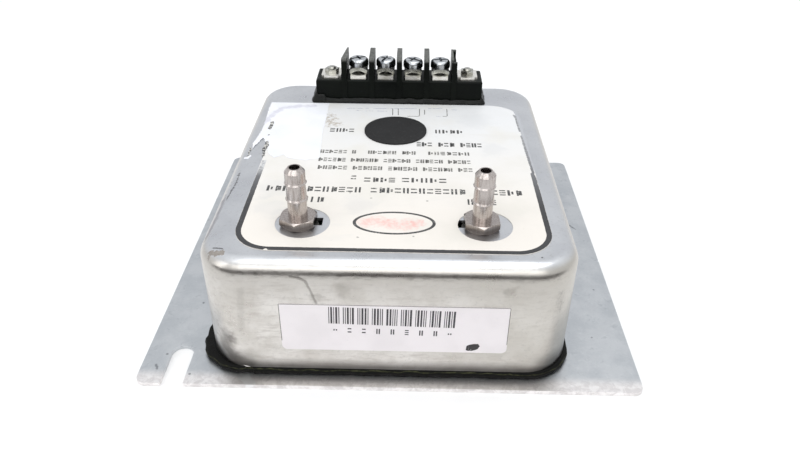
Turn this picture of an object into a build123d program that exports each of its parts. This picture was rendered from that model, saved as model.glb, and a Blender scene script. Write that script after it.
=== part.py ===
from build123d import *

import os
from math import atan2, cos, degrees, hypot, radians

os.makedirs("parts", exist_ok=True)

# Millimetres. The origin is the centre of the base plate's underside, +Z points up,
# and -Y is the side of the two hose ports.

# Base plate: flat sheet with an open slot at two opposite corners
PLATE_W = 134.4
PLATE_D = 126.1
PLATE_T = 1.2
PLATE_CORNER_R = 2.6
SLOT_W = 6.2
SLOT_DEPTH = 14.4
SLOT_INSET = 9.8
NICK_Y = -4.7
NICK_W = 0.9
NICK_DEPTH = 1.4

# Case: a drawn can, open below, that stands on the gasket
CASE_W = 96.5
CASE_D = 114.3
CASE_H = 33.9
CASE_WALL = 1.0
CASE_PLAN_R = 12.0
CASE_TOP_R = 4.0
CASE_X = -0.3
CASE_Y = -1.6

# Gasket: foam strip squeezed out past the case's rim
GASKET_T = 2.3
GASKET_SIDE_LIP = 2.8
GASKET_FRONT_LIP = 1.0
GASKET_INNER_LIP = 4.0
GASKET_EDGE_R = 0.8
GASKET_STEP_X = 36.0
GASKET_STEP = 0.9

# Face label on the case top, printed slightly off centre
LABEL_W = CASE_W - 14.9
LABEL_D = CASE_D - 25.0
LABEL_T = 0.15
LABEL_CORNER_R = 10.0
LABEL_OFF_X = 1.0
LABEL_OFF_Y = -6.55
LABEL_PORT_MARGIN = 2.0

# Stickers
FRONT_STICKER_W = 58.2
FRONT_STICKER_H = 15.2
FRONT_STICKER_T = 0.12
FRONT_STICKER_R = 1.4
FRONT_STICKER_OFF_X = 1.7
FRONT_STICKER_DROP = 11.9
TORN_STICKER_W = 20.0
TORN_STICKER_D = 39.5
TORN_STICKER_T = 0.1

# Hose ports: hex body, two barbs outside, thread and plain spigot inside
PORT_SPACING = 47.8
PORT_FROM_FRONT = 18.6
PORT_HEIGHT = 16.6
HEX_AF = 9.0
HEX_H = 2.6
HEX_CHAMFER = 0.45
HEX_FOOT_CHAMFER = 0.75
HEX_CHAMFER_IN = 0.7
HEX_TURNS = {"low": 25.0, "high": 32.0}
BARB_D = 5.8
BARB_LIP_D = 5.3
BARB_LIP_H = 0.45
BARB_WAIST_D = 4.95
BARB_ROOT_D = 5.05
BARB_TIP_FACE_D = 3.5
BARB_TIP_CHAMFER_H = 1.1
BARB_LOW_RING = 7.75
BARB_PITCH = 4.6
PORT_BORE_D = 2.8
PORT_THREAD_D = 6.35
PORT_THREAD_LEN = 7.0
SPIGOT_D = 3.8
SPIGOT_LEN = 6.0
PORT_HOLE_GAP = 0.15
KEYWAY_W = 3.6
KEYWAY_BACK = 0.9
KEYWAY_OUT = 1.7
PORT_WASHER_T = 0.8
PORT_WASHER_D = 10.6
WASHER_SPLIT_W = 0.5
WASHER_SPLIT_TILT = 25.0
PORT_NUT_T = 2.4
PORT_NUT_TURN = 12.0

# Hole plug over the trimmers
PLUG_FROM_BACK = 40.3
PLUG_D = 20.2
PLUG_CROWN = 0.95
PLUG_RIM = 0.45
PLUG_BEVEL_W = 1.6
PLUG_HOLE_D = 15.9
PLUG_SKIRT_T = 1.0
PLUG_SKIRT_DROP = 2.2
PLUG_GAP = 0.05
PLUG_SLIT_W = 1.6
PLUG_SLIT_TURNS = (0, 60, 120)

# Terminal strip: four poles between five barriers, and an ear at each end
POLES = 4
POLE_PITCH = 9.525
STRIP_LEN = 57.9
STRIP_D = 11.3
STRIP_H = 7.9
STRIP_OFF_X = 0.6
STRIP_FROM_BACK = 5.7
BARRIER_RISE = 7.85
BARRIER_T = 1.75
BARRIER_RIB = 0.45
BARRIER_CORNER_R = 0.6
CHIP_RISE = 3.9
CHIP_LEFT_T = 0.4
CHIP_FRONT = 0.5
BREAK_RISE = 4.9
BREAK_SKIN_T = 0.6
BREAK_FRONT = 0.9
BREAK_FRONT_DROP = 0.8
BREAK_BACK = 1.0
BREAK_BACK_DROP = 0.4
BOSS_DROP = 3.0
BOSS_D = 6.0
BOSS_GAP = 0.2
DECK_EDGE_CHAMFER = 0.4

# Terminals: tapped plate with a solder tail, captive arched clamp and screw
TERMINAL_W = 5.3
TERMINAL_T = 1.4
TERMINAL_FRONT_GAP = 0.9
TAIL_W = 2.4
TAIL_T = 0.8
TAIL_BACK = 2.6
TAIL_DROP = 6.4
EYE_UP = 1.3
EYE_D = 1.0
CLAMP_W = 6.1
CLAMP_D = 6.0
CLAMP_T = 1.3
CLAMP_INNER_HALF = 2.6
CLAMP_RISES = (1.0, 1.0, 0.7, 0.7)
SCREW_D = 3.5
SCREW_LEN = 6.35
SCREW_POINT = 0.4
SCREW_WELL_D = 4.5
SCREW_WELL_SPARE = 0.8
SCREW_HEAD_D = 6.8
SCREW_HEAD_H = 2.5
SCREW_HEAD_R = 1.2
SCREW_SLOT_W = 0.95
SCREW_SLOT_DEPTH = 0.9
SCREW_CROSS_W = 0.8
SCREW_CROSS_LEN = 3.6
SCREW_CROSS_DEPTH = 1.5
SCREW_TURNS = (24.0, 68.0, -32.0, 8.0)
RUNNING_GAP = 0.05
CLAMP_HOLE_GAP = 0.2

# Fixings of the terminal strip
END_PLATE_W = 6.8
END_PLATE_D = 8.6
END_PLATE_T = 1.0
END_TAB_W = 4.8
END_TAB_OUT = 1.0
END_HOLE_FROM_CENTRE = 23.8
STRIP_BOLT_D = 2.85
STRIP_BOLT_HEAD_D = 5.4
STRIP_BOLT_HEAD_H = 1.9
STRIP_BOLT_POINT = 0.35
STRIP_NUT_AF = 4.2
STRIP_NUT_T = 1.3
STRIP_NUT_TURNS = (10.0, 26.0)
STRIP_STUD_OUT = 0.6

# Sealant bead around the foot of the strip
BEAD_OUT = 1.6
BEAD_TOP_OUT = 0.25
BEAD_H = 1.9

# Posts and screws that hold the case down on the plate
POST_AF = 6.35
POST_FROM_SIDE = 10.75
POST_FROM_END = 11.15
BASE_SCREW_D = 2.85
BASE_SCREW_REACH = 8.0
BASE_SCREW_SINK = 0.9
FOOT_SCREW_REACH = 3.8
BORE_SPARE = 1.0
DRIVER_SLOT_W = 0.7
DRIVER_SLOT_DEPTH = 0.75

# Pressure capsule on the plate
CAPSULE_D = 54.0
CAPSULE_Y = 5.6
CAPSULE_HALF_T = 6.6
CAPSULE_FOOT_H = 3.0
CAPSULE_FOOT_D = 8.0
CAPSULE_FOOT_R = 16.0
CAPSULE_EDGE_R = 1.6
DIAPHRAGM_T = 0.3
CAPSULE_RIM_W = 9.0
DIAPHRAGM_DISH = 1.0
CAPSULE_SCREWS = 6
CAPSULE_SCREW_INSET = 3.5
CAPSULE_SCREW_D = 2.85
CAPSULE_SCREW_HEAD_D = 5.2
CAPSULE_SCREW_HEAD_H = 1.8
STUB_LEN = 9.0
STUB_ROOT = 4.0
STUB_BORE_D = 1.8
DROP_BORE_D = 2.4
DROP_INSET = 5.0
PIN_RING_D = 12.0
PIN_D = 1.2
PIN_H = 2.0
LEAD_BEND_R = 1.0
LEAD_JOG = 2.5
LEAD_JOG_H = 2.0

# Hoses between the ports and the capsule
HOSE_WALL = 1.2
HOSE_BEND_R = 8.6
HOSE_END_GAP = 0.2

# Circuit board hung under the case top
BOARD_W = 82.0
BOARD_D = 61.0
BOARD_T = 1.6
BOARD_CORNER_R = 2.0
BOARD_OFF_Y = 7.6
BOARD_STANDOFF_LEN = 8.0
BOARD_STANDOFF_AF = 4.76
BOARD_HOLE_INSET = 4.2
BOARD_SCREW_D = 2.85
BOARD_SCREW_HEAD_D = 5.2
BOARD_SCREW_HEAD_H = 1.8
BOARD_SCREW_REACH = 5.0

# Trimmers under the plug
TRIMMER_SIDE = 9.5
TRIMMER_H = 4.4
TRIMMER_GAP = 0.6
TRIMMER_CHAMFER = 0.6
ROTOR_D = 5.0
ROTOR_H = 1.2
ROTOR_STEM_D = 2.4
ROTOR_STEM_LEN = 1.6
ROTOR_SLOT_W = 0.8
ROTOR_SLOT_DEPTH = 0.7

# Parts on the board
CHIP_L = 9.6
CHIP_W = 6.4
CHIP_T = 3.2
CHIP_LIFT = 0.5
CHIP_PIN_PITCH = 2.54
CHIP_PINS = 4
CHIP_DOT_D = 1.6
CHIP_DOT_DEPTH = 0.4
CHIP_LEG_T = 0.3
CHIP_LEG_W = 0.6
CHIP_SHOULDER_W = 1.2
CHIP_LEG_OUT = 0.55
CAN_CAPACITOR_D = 5.0
CAN_CAPACITOR_H = 6.6
CAN_EDGE_R = 0.5
FILM_CAPACITOR_L = 7.2
FILM_CAPACITOR_W = 2.6
FILM_CAPACITOR_H = 5.6
FILM_CHAMFER = 0.4
RESISTOR_D = 2.3
RESISTOR_L = 6.2
RESISTOR_SPAN = 10.2
RESISTOR_PITCH = 4.0
RESISTOR_FROM_RIGHT = 14.0
RESISTOR_FROM_FRONT = 8.5
RESISTORS = 5
RESISTOR_LIFT = 0.3
RESISTOR_EDGE_R = 0.6
RESISTOR_LEAD_D = 0.6
RESISTOR_LEAD_R = 0.8
WIRE_D = 1.3
WIRE_BEND_R = 0.96
WIRE_PAD_INSET = 3.0

# Where the parts stand, from the board's centre
CHIP_SPOTS = [(-20.0, -12.0), (-4.0, -12.0)]
CAN_SPOTS = [(30.0, 12.0), (30.0, 4.0)]
FILM_SPOTS = [(12.0, -12.0), (-30.0, 10.0)]

# Heights and places that follow from the sizes above
RIM_Z = PLATE_T + GASKET_T
TOP_Z = RIM_Z + CASE_H
CEILING_Z = TOP_Z - CASE_WALL
LABEL_TOP_Z = TOP_Z + LABEL_T
CASE_FRONT_Y = CASE_Y - CASE_D / 2
CASE_BACK_Y = CASE_Y + CASE_D / 2

PORT_Y = CASE_FRONT_Y + PORT_FROM_FRONT
PORTS = {"low": CASE_X - PORT_SPACING / 2, "high": CASE_X + PORT_SPACING / 2}
INWARD = {"low": 1, "high": -1}
LABEL_X = CASE_X + LABEL_OFF_X
LABEL_Y = CASE_Y + LABEL_OFF_Y
LABEL_PORT_D = HEX_AF / cos(radians(30)) + 2 * LABEL_PORT_MARGIN
PLUG_X = CASE_X
PLUG_Y = CASE_BACK_Y - PLUG_FROM_BACK

STRIP_X = CASE_X + STRIP_OFF_X
STRIP_Y = CASE_BACK_Y - STRIP_FROM_BACK - STRIP_D / 2
DECK_Z = TOP_Z + STRIP_H
TERMINAL_TOP_Z = DECK_Z + TERMINAL_T
TERMINAL_X = [STRIP_X + (i - (POLES - 1) / 2) * POLE_PITCH for i in range(POLES)]
BARRIER_X = [STRIP_X + (i - POLES / 2) * POLE_PITCH for i in range(POLES + 1)]
TAIL_Y = STRIP_Y + TAIL_BACK
TAIL_END_Z = TOP_Z - TAIL_DROP
END_X = [STRIP_X - END_HOLE_FROM_CENTRE, STRIP_X + END_HOLE_FROM_CENTRE]
END_PLATE_TOP_Z = DECK_Z + END_PLATE_T

BOARD_TOP_Z = CEILING_Z - BOARD_STANDOFF_LEN
BOARD_BOTTOM_Z = BOARD_TOP_Z - BOARD_T
BOARD_X = CASE_X
BOARD_Y = CASE_Y + BOARD_OFF_Y
BOARD_HOLES = [
    (BOARD_X + sx * (BOARD_W / 2 - BOARD_HOLE_INSET), BOARD_Y + sy * (BOARD_D / 2 - BOARD_HOLE_INSET))
    for sx in (-1, 1)
    for sy in (-1, 1)
]
POSTS = [
    (CASE_X + sx * (CASE_W / 2 - POST_FROM_SIDE), CASE_Y + sy * (CASE_D / 2 - POST_FROM_END))
    for sx in (-1, 1)
    for sy in (-1, 1)
]

CAPSULE_X = CASE_X
CAPSULE_MID_Y = CASE_Y + CAPSULE_Y
FOOT_TOP_Z = PLATE_T + CAPSULE_FOOT_H
DIAPHRAGM_Z = FOOT_TOP_Z + CAPSULE_HALF_T
UPPER_HALF_Z = DIAPHRAGM_Z + DIAPHRAGM_T
CAPSULE_TOP_Z = UPPER_HALF_Z + CAPSULE_HALF_T
DISH_D = CAPSULE_D - 2 * CAPSULE_RIM_W
DROP_R = DISH_D / 2 - DROP_INSET
STUB_Z = {"high": FOOT_TOP_Z + CAPSULE_HALF_T / 2, "low": UPPER_HALF_Z + CAPSULE_HALF_T / 2}
SPIGOT_TOP_Z = TOP_Z - PORT_THREAD_LEN
SPIGOT_END_Z = SPIGOT_TOP_Z - SPIGOT_LEN
HOSE_D = SPIGOT_D + 2 * HOSE_WALL

UPRIGHT = (Align.CENTER, Align.CENTER, Align.MIN)


def rod(diameter, z_low, z_high, x=0.0, y=0.0):
    return Pos(x, y, z_low) * Cylinder(diameter / 2, z_high - z_low, align=UPRIGHT)


def brick(width, depth, z_low, z_high, x=0.0, y=0.0):
    return Pos(x, y, z_low) * Box(width, depth, z_high - z_low, align=UPRIGHT)


def slab(width, depth, corner_r, z_low, z_high, x=0.0, y=0.0):
    outline = RectangleRounded(width, depth, corner_r)
    return Pos(x, y, z_low) * extrude(outline, z_high - z_low)


def hex_bar(across_flats, z_low, z_high, x=0.0, y=0.0, turn=0.0):
    outline = RegularPolygon(across_flats / 2, 6, major_radius=False)
    return Pos(x, y, z_low) * Rot(0, 0, turn) * extrude(outline, z_high - z_low)


def turned(points):
    """A solid of revolution about Z from its half profile in (radius, z)."""
    profile = Plane.XZ * make_face(Polyline(*points, close=True))
    return revolve(profile, Axis.Z)


def hose_along(points, bend_r, outer_d, bore_d=0.0):
    """A round hose or wire along straight runs joined by arcs."""
    path = FilletPolyline(*points, radius=bend_r)
    section = Circle(outer_d / 2)
    if bore_d:
        section -= Circle(bore_d / 2)
    return sweep(Plane(origin=path @ 0, z_dir=path % 0) * section, path=path)


def save(name, *shapes):
    shape = shapes[0] if len(shapes) == 1 else Compound(children=list(shapes))
    shape.label = name
    export_step(shape, f"parts/{name}.step")


def driver_slot(head_d, z_low, x=0.0, y=0.0):
    return brick(head_d, DRIVER_SLOT_W, z_low, z_low + DRIVER_SLOT_DEPTH, x, y)


def countersink(x, y, shank_d):
    """The space in the plate that a flush screw from below fills, with its cone at 90 degrees."""
    sink = BASE_SCREW_SINK * PLATE_T
    cone = Pos(x, y, 0) * Cone(shank_d / 2 + sink, shank_d / 2, sink, align=UPRIGHT)
    return cone + rod(shank_d, 0, PLATE_T, x, y)


def flush_screw(x, y, shank_d, reach):
    shank = rod(shank_d, 0, PLATE_T + reach, x, y)
    slot = driver_slot(shank_d + BASE_SCREW_SINK * PLATE_T, 0, x, y)
    return countersink(x, y, shank_d) + shank - slot


def capsule_feet():
    spots = PolarLocations(CAPSULE_FOOT_R, 3, start_angle=90)
    return [(CAPSULE_X + at.position.X, CAPSULE_MID_Y + at.position.Y) for at in spots]


def base_plate():
    plate = slab(PLATE_W, PLATE_D, PLATE_CORNER_R, 0, PLATE_T)
    straight = SLOT_DEPTH - SLOT_W / 2
    for side in (-1, 1):
        x = side * (PLATE_W / 2 - SLOT_INSET)
        arc_y = side * (PLATE_D / 2 - straight)
        mouth_y = side * (PLATE_D / 2 - straight / 2 + 1)
        plate -= rod(SLOT_W, 0, PLATE_T, x, arc_y)
        plate -= brick(SLOT_W, straight + 2, 0, PLATE_T, x, mouth_y)
    nick = Polyline(
        (PLATE_W / 2 - NICK_DEPTH, NICK_Y),
        (PLATE_W / 2 + 1, NICK_Y - NICK_W / 2),
        (PLATE_W / 2 + 1, NICK_Y + NICK_W),
        close=True,
    )
    plate -= extrude(make_face(nick), PLATE_T)
    for x, y in POSTS + capsule_feet():
        plate -= countersink(x, y, BASE_SCREW_D)
    return plate


def base_gasket():
    outer_w = CASE_W + 2 * GASKET_SIDE_LIP
    outer_d = CASE_D + 2 * GASKET_FRONT_LIP
    ring = slab(outer_w, outer_d, CASE_PLAN_R + GASKET_FRONT_LIP, PLATE_T, RIM_Z, CASE_X, CASE_Y)
    rims = ring.faces().filter_by(Axis.Z).edges()
    ring = fillet(rims, GASKET_EDGE_R)
    inner_cut = 2 * (CASE_WALL + GASKET_INNER_LIP)
    ring -= slab(
        CASE_W - inner_cut, CASE_D - inner_cut, CASE_PLAN_R / 2, PLATE_T, RIM_Z, CASE_X, CASE_Y
    )
    step_w = outer_w / 2 - GASKET_STEP_X
    step_x = CASE_X - outer_w / 2 + step_w / 2
    ring -= brick(step_w, 2 * GASKET_STEP, PLATE_T, RIM_Z, step_x, CASE_Y - outer_d / 2)
    return ring


def can(width, depth, plan_r, top_r, z_low, z_high):
    body = slab(width, depth, plan_r, z_low, z_high, CASE_X, CASE_Y)
    rim = body.faces().sort_by(Axis.Z)[-1].edges()
    return fillet(rim, top_r)


def port_hole(port):
    x = PORTS[port]
    hole = rod(PORT_THREAD_D + 2 * PORT_HOLE_GAP, CEILING_Z, TOP_Z, x, PORT_Y)
    reach = HEX_AF / 2 + KEYWAY_OUT
    slot_x = x + INWARD[port] * reach / 2
    return hole + brick(reach, KEYWAY_W, CEILING_Z, TOP_Z, slot_x, PORT_Y + KEYWAY_BACK)


def case():
    shell = can(CASE_W, CASE_D, CASE_PLAN_R, CASE_TOP_R, RIM_Z, TOP_Z)
    shell -= can(
        CASE_W - 2 * CASE_WALL,
        CASE_D - 2 * CASE_WALL,
        CASE_PLAN_R - CASE_WALL,
        CASE_TOP_R - CASE_WALL,
        RIM_Z,
        CEILING_Z,
    )
    for port in PORTS:
        shell -= port_hole(port)
    shell -= rod(PLUG_HOLE_D, CEILING_Z, TOP_Z, PLUG_X, PLUG_Y)
    shell -= brick(boss_length() + 2 * BOSS_GAP, BOSS_D + 2 * BOSS_GAP, CEILING_Z, TOP_Z, STRIP_X, STRIP_Y)
    for x in END_X:
        shell -= rod(STRIP_BOLT_D, CEILING_Z, TOP_Z, x, STRIP_Y)
    return shell


def face_label():
    label = slab(LABEL_W, LABEL_D, LABEL_CORNER_R, TOP_Z, LABEL_TOP_Z, LABEL_X, LABEL_Y)
    for port_x in PORTS.values():
        label -= rod(LABEL_PORT_D, TOP_Z, LABEL_TOP_Z, port_x + LABEL_OFF_X, PORT_Y)
    return label - rod(PLUG_HOLE_D, TOP_Z, LABEL_TOP_Z, PLUG_X, PLUG_Y)


def front_sticker():
    """Cut square along the top and rounded at its lower corners."""
    sheet = Rectangle(FRONT_STICKER_W, FRONT_STICKER_H)
    outline = fillet(sheet.vertices().group_by(Axis.Y)[0], FRONT_STICKER_R)
    z = TOP_Z - FRONT_STICKER_DROP - FRONT_STICKER_H / 2
    face_plane = Plane((CASE_X + FRONT_STICKER_OFF_X, CASE_FRONT_Y, z), x_dir=(1, 0, 0), z_dir=(0, -1, 0))
    return extrude(face_plane * outline, FRONT_STICKER_T)


def torn_sticker():
    """A torn remnant over the far-left corner of the label, from its far-left corner."""
    left = CASE_X - CASE_W / 2 + CASE_TOP_R + 0.2
    back = LABEL_Y + LABEL_D / 2
    across = TORN_STICKER_W
    along = TORN_STICKER_D
    outline = Polyline(
        (left + 0.03 * across, back),
        (left + across, back),
        (left + 0.99 * across, back - 0.55 * along),
        (left + 0.95 * across, back - along),
        (left + 0.62 * across, back - 0.98 * along),
        (left + 0.36 * across, back - 0.90 * along),
        (left + 0.31 * across, back - 0.74 * along),
        (left + 0.12 * across, back - 0.66 * along),
        (left + 0.10 * across, back - 0.81 * along),
        (left, back - 0.77 * along),
        close=True,
    )
    return Pos(0, 0, LABEL_TOP_Z) * extrude(make_face(outline), TORN_STICKER_T)


def port_fitting(port):
    tip_z = TOP_Z + PORT_HEIGHT
    low_ring_z = TOP_Z + BARB_LOW_RING
    high_ring_z = low_ring_z + BARB_PITCH
    bore = PORT_BORE_D / 2
    stem = turned([
        (bore, SPIGOT_END_Z),
        (SPIGOT_D / 2, SPIGOT_END_Z),
        (SPIGOT_D / 2, SPIGOT_TOP_Z),
        (PORT_THREAD_D / 2, SPIGOT_TOP_Z),
        (PORT_THREAD_D / 2, TOP_Z + HEX_H / 2),
        (BARB_ROOT_D / 2, TOP_Z + HEX_H / 2),
        (BARB_ROOT_D / 2, low_ring_z),
        (BARB_D / 2, low_ring_z),
        (BARB_LIP_D / 2, low_ring_z + BARB_LIP_H),
        (BARB_WAIST_D / 2, high_ring_z),
        (BARB_D / 2, high_ring_z),
        (BARB_LIP_D / 2, high_ring_z + BARB_LIP_H),
        (BARB_LIP_D / 2, tip_z - BARB_TIP_CHAMFER_H),
        (BARB_TIP_FACE_D / 2, tip_z),
        (bore, tip_z),
    ])
    hexagon = hex_bar(HEX_AF, TOP_Z, TOP_Z + HEX_H, turn=HEX_TURNS[port])
    corner_r = HEX_AF / 2 / cos(radians(30))
    blank = turned([
        (0, TOP_Z),
        (corner_r - HEX_CHAMFER_IN, TOP_Z),
        (corner_r, TOP_Z + HEX_FOOT_CHAMFER),
        (corner_r, TOP_Z + HEX_H - HEX_CHAMFER),
        (corner_r - HEX_CHAMFER_IN, TOP_Z + HEX_H),
        (0, TOP_Z + HEX_H),
    ])
    body = hexagon & blank
    body -= rod(PORT_BORE_D, TOP_Z, TOP_Z + HEX_H)
    return Pos(PORTS[port], PORT_Y, 0) * (stem + body)


def port_washer(port):
    """Split spring washer between the nut and the case."""
    low = CEILING_Z - PORT_WASHER_T
    washer = rod(PORT_WASHER_D, low, CEILING_Z) - rod(PORT_THREAD_D + 2 * PORT_HOLE_GAP, low, CEILING_Z)
    split = Rot(WASHER_SPLIT_TILT, 0, 0) * Box(PORT_WASHER_D, WASHER_SPLIT_W, 4 * PORT_WASHER_T)
    washer -= Pos(PORT_WASHER_D / 2, 0, low) * split
    return Pos(PORTS[port], PORT_Y, 0) * washer


def port_nut(port):
    high = CEILING_Z - PORT_WASHER_T
    low = high - PORT_NUT_T
    nut = hex_bar(HEX_AF, low, high, turn=PORT_NUT_TURN) - rod(PORT_THREAD_D + 2 * RUNNING_GAP, low, high)
    return Pos(PORTS[port], PORT_Y, 0) * nut


def hole_plug():
    """Thin domed head with a slit skirt that snaps into the case."""
    skirt_r = PLUG_HOLE_D / 2 - PLUG_GAP
    skirt_end = CEILING_Z - PLUG_SKIRT_DROP
    head = rod(PLUG_D, LABEL_TOP_Z, LABEL_TOP_Z + PLUG_CROWN)
    head = chamfer(head.edges().sort_by(Axis.Z)[-1], PLUG_CROWN - PLUG_RIM, PLUG_BEVEL_W)
    skirt = rod(2 * skirt_r, skirt_end, LABEL_TOP_Z)
    skirt -= rod(2 * (skirt_r - PLUG_SKIRT_T), skirt_end, LABEL_TOP_Z)
    for turn in PLUG_SLIT_TURNS:
        skirt -= Rot(0, 0, turn) * brick(PLUG_D, PLUG_SLIT_W, skirt_end, CEILING_Z)
    return Pos(PLUG_X, PLUG_Y, 0) * (head + skirt)


def boss_length():
    return (POLES - 1) * POLE_PITCH + TERMINAL_W


def barrier(x):
    """A plate as deep as the strip and its ribs, with eased top corners."""
    fin = brick(BARRIER_T, STRIP_D + 2 * BARRIER_RIB, TOP_Z, DECK_Z + BARRIER_RISE, x, STRIP_Y)
    corners = fin.edges().filter_by(Axis.X).group_by(Axis.Z)[-1]
    return fillet(corners, BARRIER_CORNER_R)


def broken_barriers(strip):
    """The first one has lost a wedge of its outer face; the last one is broken open to a thin skin."""
    top = DECK_Z + BARRIER_RISE
    front = STRIP_Y - STRIP_D / 2 - BARRIER_RIB
    back = STRIP_Y + STRIP_D / 2 + BARRIER_RIB
    outside = BARRIER_X[0] - BARRIER_T
    inside = BARRIER_X[0] + BARRIER_T / 2 - CHIP_LEFT_T
    outer_face = BARRIER_X[0] - BARRIER_T / 2
    wedge = Polyline(
        (outside, front + CHIP_FRONT),
        (outer_face, front + CHIP_FRONT),
        (inside, back + BARRIER_RIB),
        (outside, back + BARRIER_RIB),
        close=True,
    )
    strip -= Pos(0, 0, DECK_Z + CHIP_RISE) * extrude(make_face(wedge), BARRIER_RISE)
    skin = BARRIER_X[-1] - BARRIER_T / 2 + BREAK_SKIN_T
    gap_d = back - front - BREAK_FRONT - BREAK_BACK
    gap_y = front + BREAK_FRONT + gap_d / 2
    strip -= brick(BARRIER_T, gap_d, DECK_Z + BREAK_RISE, top, skin + BARRIER_T / 2, gap_y)
    strip -= brick(2 * BARRIER_T, 2 * BREAK_FRONT, top - BREAK_FRONT_DROP, top, BARRIER_X[-1], front)
    strip -= brick(2 * BARRIER_T, 2 * BREAK_BACK, top - BREAK_BACK_DROP, top, BARRIER_X[-1], back)
    return strip


def terminal_tail(x):
    return brick(TAIL_W, TAIL_T, TAIL_END_Z, TERMINAL_TOP_Z, x, TAIL_Y)


def screw_seat_z(rise):
    return TERMINAL_TOP_Z + rise + CLAMP_T + RUNNING_GAP


def terminal_block():
    strip = brick(STRIP_LEN, STRIP_D, TOP_Z, DECK_Z, STRIP_X, STRIP_Y)
    strip = chamfer(strip.faces().sort_by(Axis.Z)[-1].edges(), DECK_EDGE_CHAMFER)
    strip += brick(boss_length(), BOSS_D, TOP_Z - BOSS_DROP, TOP_Z, STRIP_X, STRIP_Y)
    for x in BARRIER_X:
        strip += barrier(x)
    strip = broken_barriers(strip)
    for x, rise in zip(TERMINAL_X, CLAMP_RISES):
        strip -= rod(SCREW_WELL_D, screw_seat_z(rise) - SCREW_LEN - SCREW_WELL_SPARE, DECK_Z, x, STRIP_Y)
        strip -= terminal_tail(x)
    for x in END_X:
        strip -= rod(STRIP_BOLT_D, TOP_Z, DECK_Z, x, STRIP_Y)
    return strip


def terminal_plate(x):
    depth = STRIP_D - 2 * TERMINAL_FRONT_GAP
    plate = brick(TERMINAL_W, depth, DECK_Z, TERMINAL_TOP_Z, x, STRIP_Y)
    plate += terminal_tail(x)
    hole = rod(SCREW_D + 2 * RUNNING_GAP, DECK_Z, TERMINAL_TOP_Z, x, STRIP_Y)
    eye = Pos(x, TAIL_Y, TAIL_END_Z + EYE_UP) * Rot(90, 0, 0) * Cylinder(EYE_D / 2, 2 * TAIL_T)
    return plate - hole - eye


def terminal_clamp(x, rise):
    """Arched washer: its wings stand on the plate and its crown carries the screw head."""
    inner_r = (CLAMP_INNER_HALF ** 2 + rise ** 2) / (2 * rise)
    arch = Circle(inner_r + CLAMP_T) - Circle(inner_r)
    window = Pos(0, inner_r - rise + CLAMP_W / 2) * Rectangle(CLAMP_W, CLAMP_W)
    section = Plane.XZ * (Pos(0, rise - inner_r) * (arch & window))
    clamp = Pos(x, STRIP_Y + CLAMP_D / 2, TERMINAL_TOP_Z) * extrude(section, CLAMP_D)
    return clamp - rod(SCREW_D + 2 * CLAMP_HOLE_GAP, DECK_Z, TOP_Z + 3 * STRIP_H, x, STRIP_Y)


def terminal_screw(x, rise, turn):
    """Pan head with a straight slot crossed by a shorter, deeper one."""
    seat = screw_seat_z(rise)
    top = seat + SCREW_HEAD_H
    head = rod(SCREW_HEAD_D, seat, top)
    head = fillet(head.edges().sort_by(Axis.Z)[-1], SCREW_HEAD_R)
    head -= brick(SCREW_HEAD_D, SCREW_SLOT_W, top - SCREW_SLOT_DEPTH, top)
    head -= brick(SCREW_CROSS_W, SCREW_CROSS_LEN, top - SCREW_CROSS_DEPTH, top)
    head -= brick(SCREW_CROSS_LEN, SCREW_CROSS_W, top - SCREW_CROSS_DEPTH, top)
    shank = rod(SCREW_D, seat - SCREW_LEN, seat)
    shank = chamfer(shank.edges().sort_by(Axis.Z)[0], SCREW_POINT)
    return Pos(x, STRIP_Y, 0) * Rot(0, 0, turn) * (head + shank)


def end_plate(x):
    plate = brick(END_PLATE_W, END_PLATE_D - 2 * END_TAB_OUT, DECK_Z, END_PLATE_TOP_Z, x, STRIP_Y)
    plate += brick(END_TAB_W, END_PLATE_D, DECK_Z, END_PLATE_TOP_Z, x, STRIP_Y)
    return plate - rod(STRIP_BOLT_D, DECK_Z, END_PLATE_TOP_Z, x, STRIP_Y)


def strip_bolt(x):
    """Screw from inside the case, with its end standing out of the nut."""
    head = rod(STRIP_BOLT_HEAD_D, CEILING_Z - STRIP_BOLT_HEAD_H, CEILING_Z)
    head = fillet(head.edges().sort_by(Axis.Z)[0], STRIP_BOLT_HEAD_H / 3)
    head -= driver_slot(STRIP_BOLT_HEAD_D, CEILING_Z - STRIP_BOLT_HEAD_H)
    end_z = END_PLATE_TOP_Z + STRIP_NUT_T + STRIP_STUD_OUT
    shank = rod(STRIP_BOLT_D, CEILING_Z, end_z)
    shank = chamfer(shank.edges().sort_by(Axis.Z)[-1], STRIP_BOLT_POINT)
    return Pos(x, STRIP_Y, 0) * (head + shank)


def strip_nut(x, turn):
    nut = hex_bar(STRIP_NUT_AF, END_PLATE_TOP_Z, END_PLATE_TOP_Z + STRIP_NUT_T, turn=turn)
    nut -= rod(STRIP_BOLT_D, END_PLATE_TOP_Z, END_PLATE_TOP_Z + STRIP_NUT_T)
    return Pos(x, STRIP_Y, 0) * nut


def strip_sealant():
    """Bead that flares from the strip's walls to the case top."""
    foot = Pos(STRIP_X, STRIP_Y, TOP_Z) * RectangleRounded(
        STRIP_LEN + 2 * BEAD_OUT, STRIP_D + 2 * BEAD_OUT, BEAD_OUT
    )
    crest = Pos(STRIP_X, STRIP_Y, TOP_Z + BEAD_H) * RectangleRounded(
        STRIP_LEN + 2 * BEAD_TOP_OUT, STRIP_D + 2 * BEAD_TOP_OUT, BEAD_TOP_OUT
    )
    bead = loft([foot, crest])
    bead -= brick(STRIP_LEN, STRIP_D, TOP_Z, TOP_Z + BEAD_H, STRIP_X, STRIP_Y)
    for x in BARRIER_X:
        bead -= brick(BARRIER_T, STRIP_D + 2 * BARRIER_RIB, TOP_Z, TOP_Z + BEAD_H, x, STRIP_Y)
    return bead


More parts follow.
